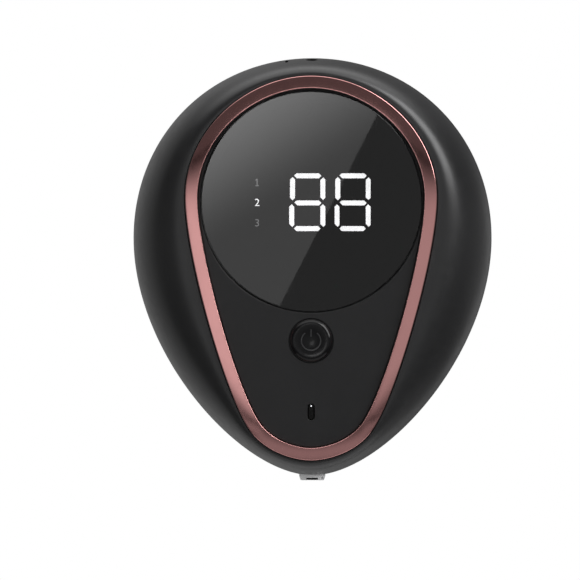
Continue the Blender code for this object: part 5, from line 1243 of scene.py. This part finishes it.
GREY = surface("moulded_grey", (0.42, 0.42, 0.425), 0.45, grain=2400.0, depth=0.00002, mottle=0.05)
# The spout is a light grey, painted lighter still to make up for the shade under the toe: partly its own colour,
# partly painted light.
SHADE_LIFTED_GREY = surface("spout_grey_lightened_for_shade", (0.84, 0.84, 0.845), 0.42, grain=2400.0, depth=0.00002, mottle=0.05)
NOZZLE_TIP = -0.0858
nozzle_profile = [
    (0.0042, -0.0710),
    (0.0042, -0.0793),
    (0.0056, -0.0793),
    (0.0056, -0.0805),
    (0.00465, -0.0805),
    (0.00465, -TOE_DEPTH),
    (0.00415, NOZZLE_TIP),
    (0.0022, NOZZLE_TIP),
    (0.0022, -0.0805),
    (0.0030, -0.0710),
]
nozzle_loop = eased(nozzle_profile, 0.00025)
nozzle = skin("spout", turned(nozzle_loop, (0.0, NOZZLE_DEPTH, 0.0), "Z", 128), endless=True)
carved(
    nozzle,
    "DIFFERENCE",
    block((-0.0021, NOZZLE_DEPTH - 0.0060, -0.0849), (0.0021, NOZZLE_DEPTH, NOZZLE_TIP - OVER)),
    drum((0.0036, NOZZLE_DEPTH - 0.0060, -0.0850), (0.0036, NOZZLE_DEPTH - 0.0012, -0.0850), 0.00035, 24),
)
fitted(nozzle, "housing", "grey", SHADE_LIFTED_GREY, "nozzle")

# A black sleeve inside the spout's mouth: painted shade, so that the bore, lit through the front cut, stays dark.
shade_lining = [(0.00215, -0.0812), (0.00215, -0.0856), (0.0016, -0.0856), (0.0016, -0.0812)]
mouth = skin("spout_mouth_shade", turned(eased(shade_lining, 0.0001), (0.0, NOZZLE_DEPTH, 0.0), "Z", 64), endless=True)
fitted(mouth, "housing", "silicone", MASK_BLACK)

window_profile = eased([(0.0001, -0.0790), (0.0036, -0.0790), (0.0036, -0.0828), (0.0001, -0.0828)], 0.0003)
window = skin("sensor_eye", turned(window_profile, (0.0, EYE_DEPTH, 0.0), "Z", 64))
fitted(window, "housing", "gloss", GLOSS, "sensor_window")

# The housing screws: zinc-plated steel pan heads with a cross recess and a rolled thread. They are driven
# from behind, and their heads lie at the bottom of the counterbores.

STEEL = surface(
    "plated_steel",
    (0.56, 0.55, 0.53),
    0.28,
    Metallic=1.0,
    mottle=0.10,
    grain=1800.0,
    depth=0.00001,
    worn=(0.75, 0.74, 0.72),
    dust=0.0,
)
SCREW_SEAT = -0.0043
SCREW_REACH = 0.032
THREAD_PITCH = 0.0011
THREAD_CORE = 0.00132
THREAD_RISE = 0.00018

thread_run = np.linspace(0.0, 1.0, 220)
for number, (side, up) in enumerate(SCREW_PLACES, 1):
    head = [
        (0.0001, SCREW_SEAT + 0.0019),
        (0.0018, SCREW_SEAT + 0.00185),
        (0.00275, SCREW_SEAT + 0.0010),
        (0.00275, SCREW_SEAT),
        (0.0015, SCREW_SEAT),
    ]
    reached = thread_run[4:] * SCREW_REACH
    crest_radius = THREAD_CORE + THREAD_RISE * np.cos(2 * math.pi * reached / THREAD_PITCH)
    shank = np.stack([crest_radius, SCREW_SEAT - reached], axis=1)
    screw_profile = np.concatenate([eased(head, 0.0003), shank, [(0.0001, SCREW_SEAT - SCREW_REACH)]])
    made = skin(f"pan_screw_{number}", turned(screw_profile, (side, 0.0, up), "Y", 32))
    reach, thin, sunk = 0.0014, 0.0003, SCREW_SEAT + 0.0008
    carved(made, "DIFFERENCE", block((side - reach, sunk, up - thin), (side + reach, OVER, up + thin)))
    carved(made, "DIFFERENCE", block((side - thin, sunk, up - reach), (side + thin, OVER, up + reach)))
    fitted(made, "housing", "steel", STEEL, f"housing_screw_{number}")

# The charge cover: a soft flap with rounded corners and rims, moulded from silicone. It lies in its recess
# over the charge socket and hinges at its side.

SILICONE = surface("soft_silicone", (0.045, 0.045, 0.047), 0.62, grain=1600.0, depth=0.00002, Sheen_Weight=0.15)


def rounded(half_x, half_z, corner, inset, count=96):
    """(x, z) outline of a rectangle with rounded corners: a circle of the corner radius less the inset, each
    quarter of which is moved out by the straight half of both sides."""
    turn = np.linspace(0.0, 2 * math.pi, count, endpoint=False)
    flat_x, flat_z = half_x - corner, half_z - corner
    radius = corner - inset
    x = np.sign(np.cos(turn)) * flat_x + radius * np.cos(turn)
    z = np.sign(np.sin(turn)) * flat_z + radius * np.sin(turn)
    return np.stack([x, z], axis=1)


def pillow(name, half_x, half_z, corner, edge, low, high, up=0.0):
    """A flat plate between two depths. Its rims are quarter circles: the outline is inset by
    edge (1 - sin t) as the depth grows by edge (1 - cos t), and the same the other way round."""
    turn = np.linspace(0.0, math.pi / 2, 6)
    rows = [(edge * (1 - math.sin(t)), low + edge * (1 - math.cos(t))) for t in turn]
    rows += [(edge * (1 - math.cos(t)), high - edge * (1 - math.sin(t))) for t in turn]
    grid = [at_depth(rounded(half_x, half_z, corner, inset) + [0.0, up], depth) for inset, depth in rows]
    return skin(name, np.array(grid))


cover = pillow("socket_flap", 0.0080, 0.0040, 0.0014, 0.0003, -0.0021, -0.0010, CHARGE_HEIGHT)
fitted(cover, "socket_cover", "silicone", SILICONE, "charge_cover")

# The wall bracket's pad: a die-cut piece of white foam tape with glue on both faces. It sticks the moulded
# grey bracket to the wall.

TAPE = surface("foam_tape", (0.62, 0.62, 0.59), 0.85, grain=1300.0, depth=0.00006, mottle=0.06, Sheen_Weight=0.2)
pad = pillow("tape_pad", STEM_HALF, 0.0150, 0.0012, 0.0002, -0.0010, 0.0)
fitted(pad, "wall_mount", "tape", TAPE, "adhesive_pad")

# The works inside: moulded grey frames and pump pieces, silicone seals and tubes, green boards, steel small
# parts, the wrapped cell and the milky tank. Each keeps the CAD node's shape and gets its own finish.

TANK = surface(
    "milky_tank", (0.72, 0.76, 0.78), 0.28, grain=900.0, depth=0.00003, mottle=0.04, Transmission_Weight=0.55
)
BOARD = surface("solder_mask", (0.012, 0.10, 0.045), 0.32, grain=700.0, depth=0.00002, mottle=0.15, Coat_Weight=0.3)
WRAP = surface("shrink_wrap", (0.04, 0.14, 0.30), 0.25, grain=500.0, depth=0.00002, Coat_Weight=0.4)

finishes = {
    GREY: (
        "wall_bracket tact_switch inner_frame pump_base swing_frame valve_plate pump_head foamer_body"
    ),
    SILICONE: "housing_gasket button_seal soap_tube diaphragm foam_tube nozzle_seal lid_seal",
    MASK_BLACK: "digit_mask",
    UNLIT: "level_light_guide status_led",
    BOARD: "main_board sensor_board charge_board",
    GLOSS: "controller_chip switch_plunger ir_emitter ir_receiver",
    STEEL: (
        "frame_screw_1 frame_screw_2 board_screw_1 board_screw_2 battery_contact_left "
        "battery_contact_right pump_motor motor_shaft eccentric_wheel drive_pin foam_mesh charge_socket "
        "lid_hinge_pin"
    ),
    WRAP: "battery_cell",
    TANK: "soap_tank",
}
for finish, names in finishes.items():
    for name in names.split():
        nodes[name].material_slots[0].material = finish
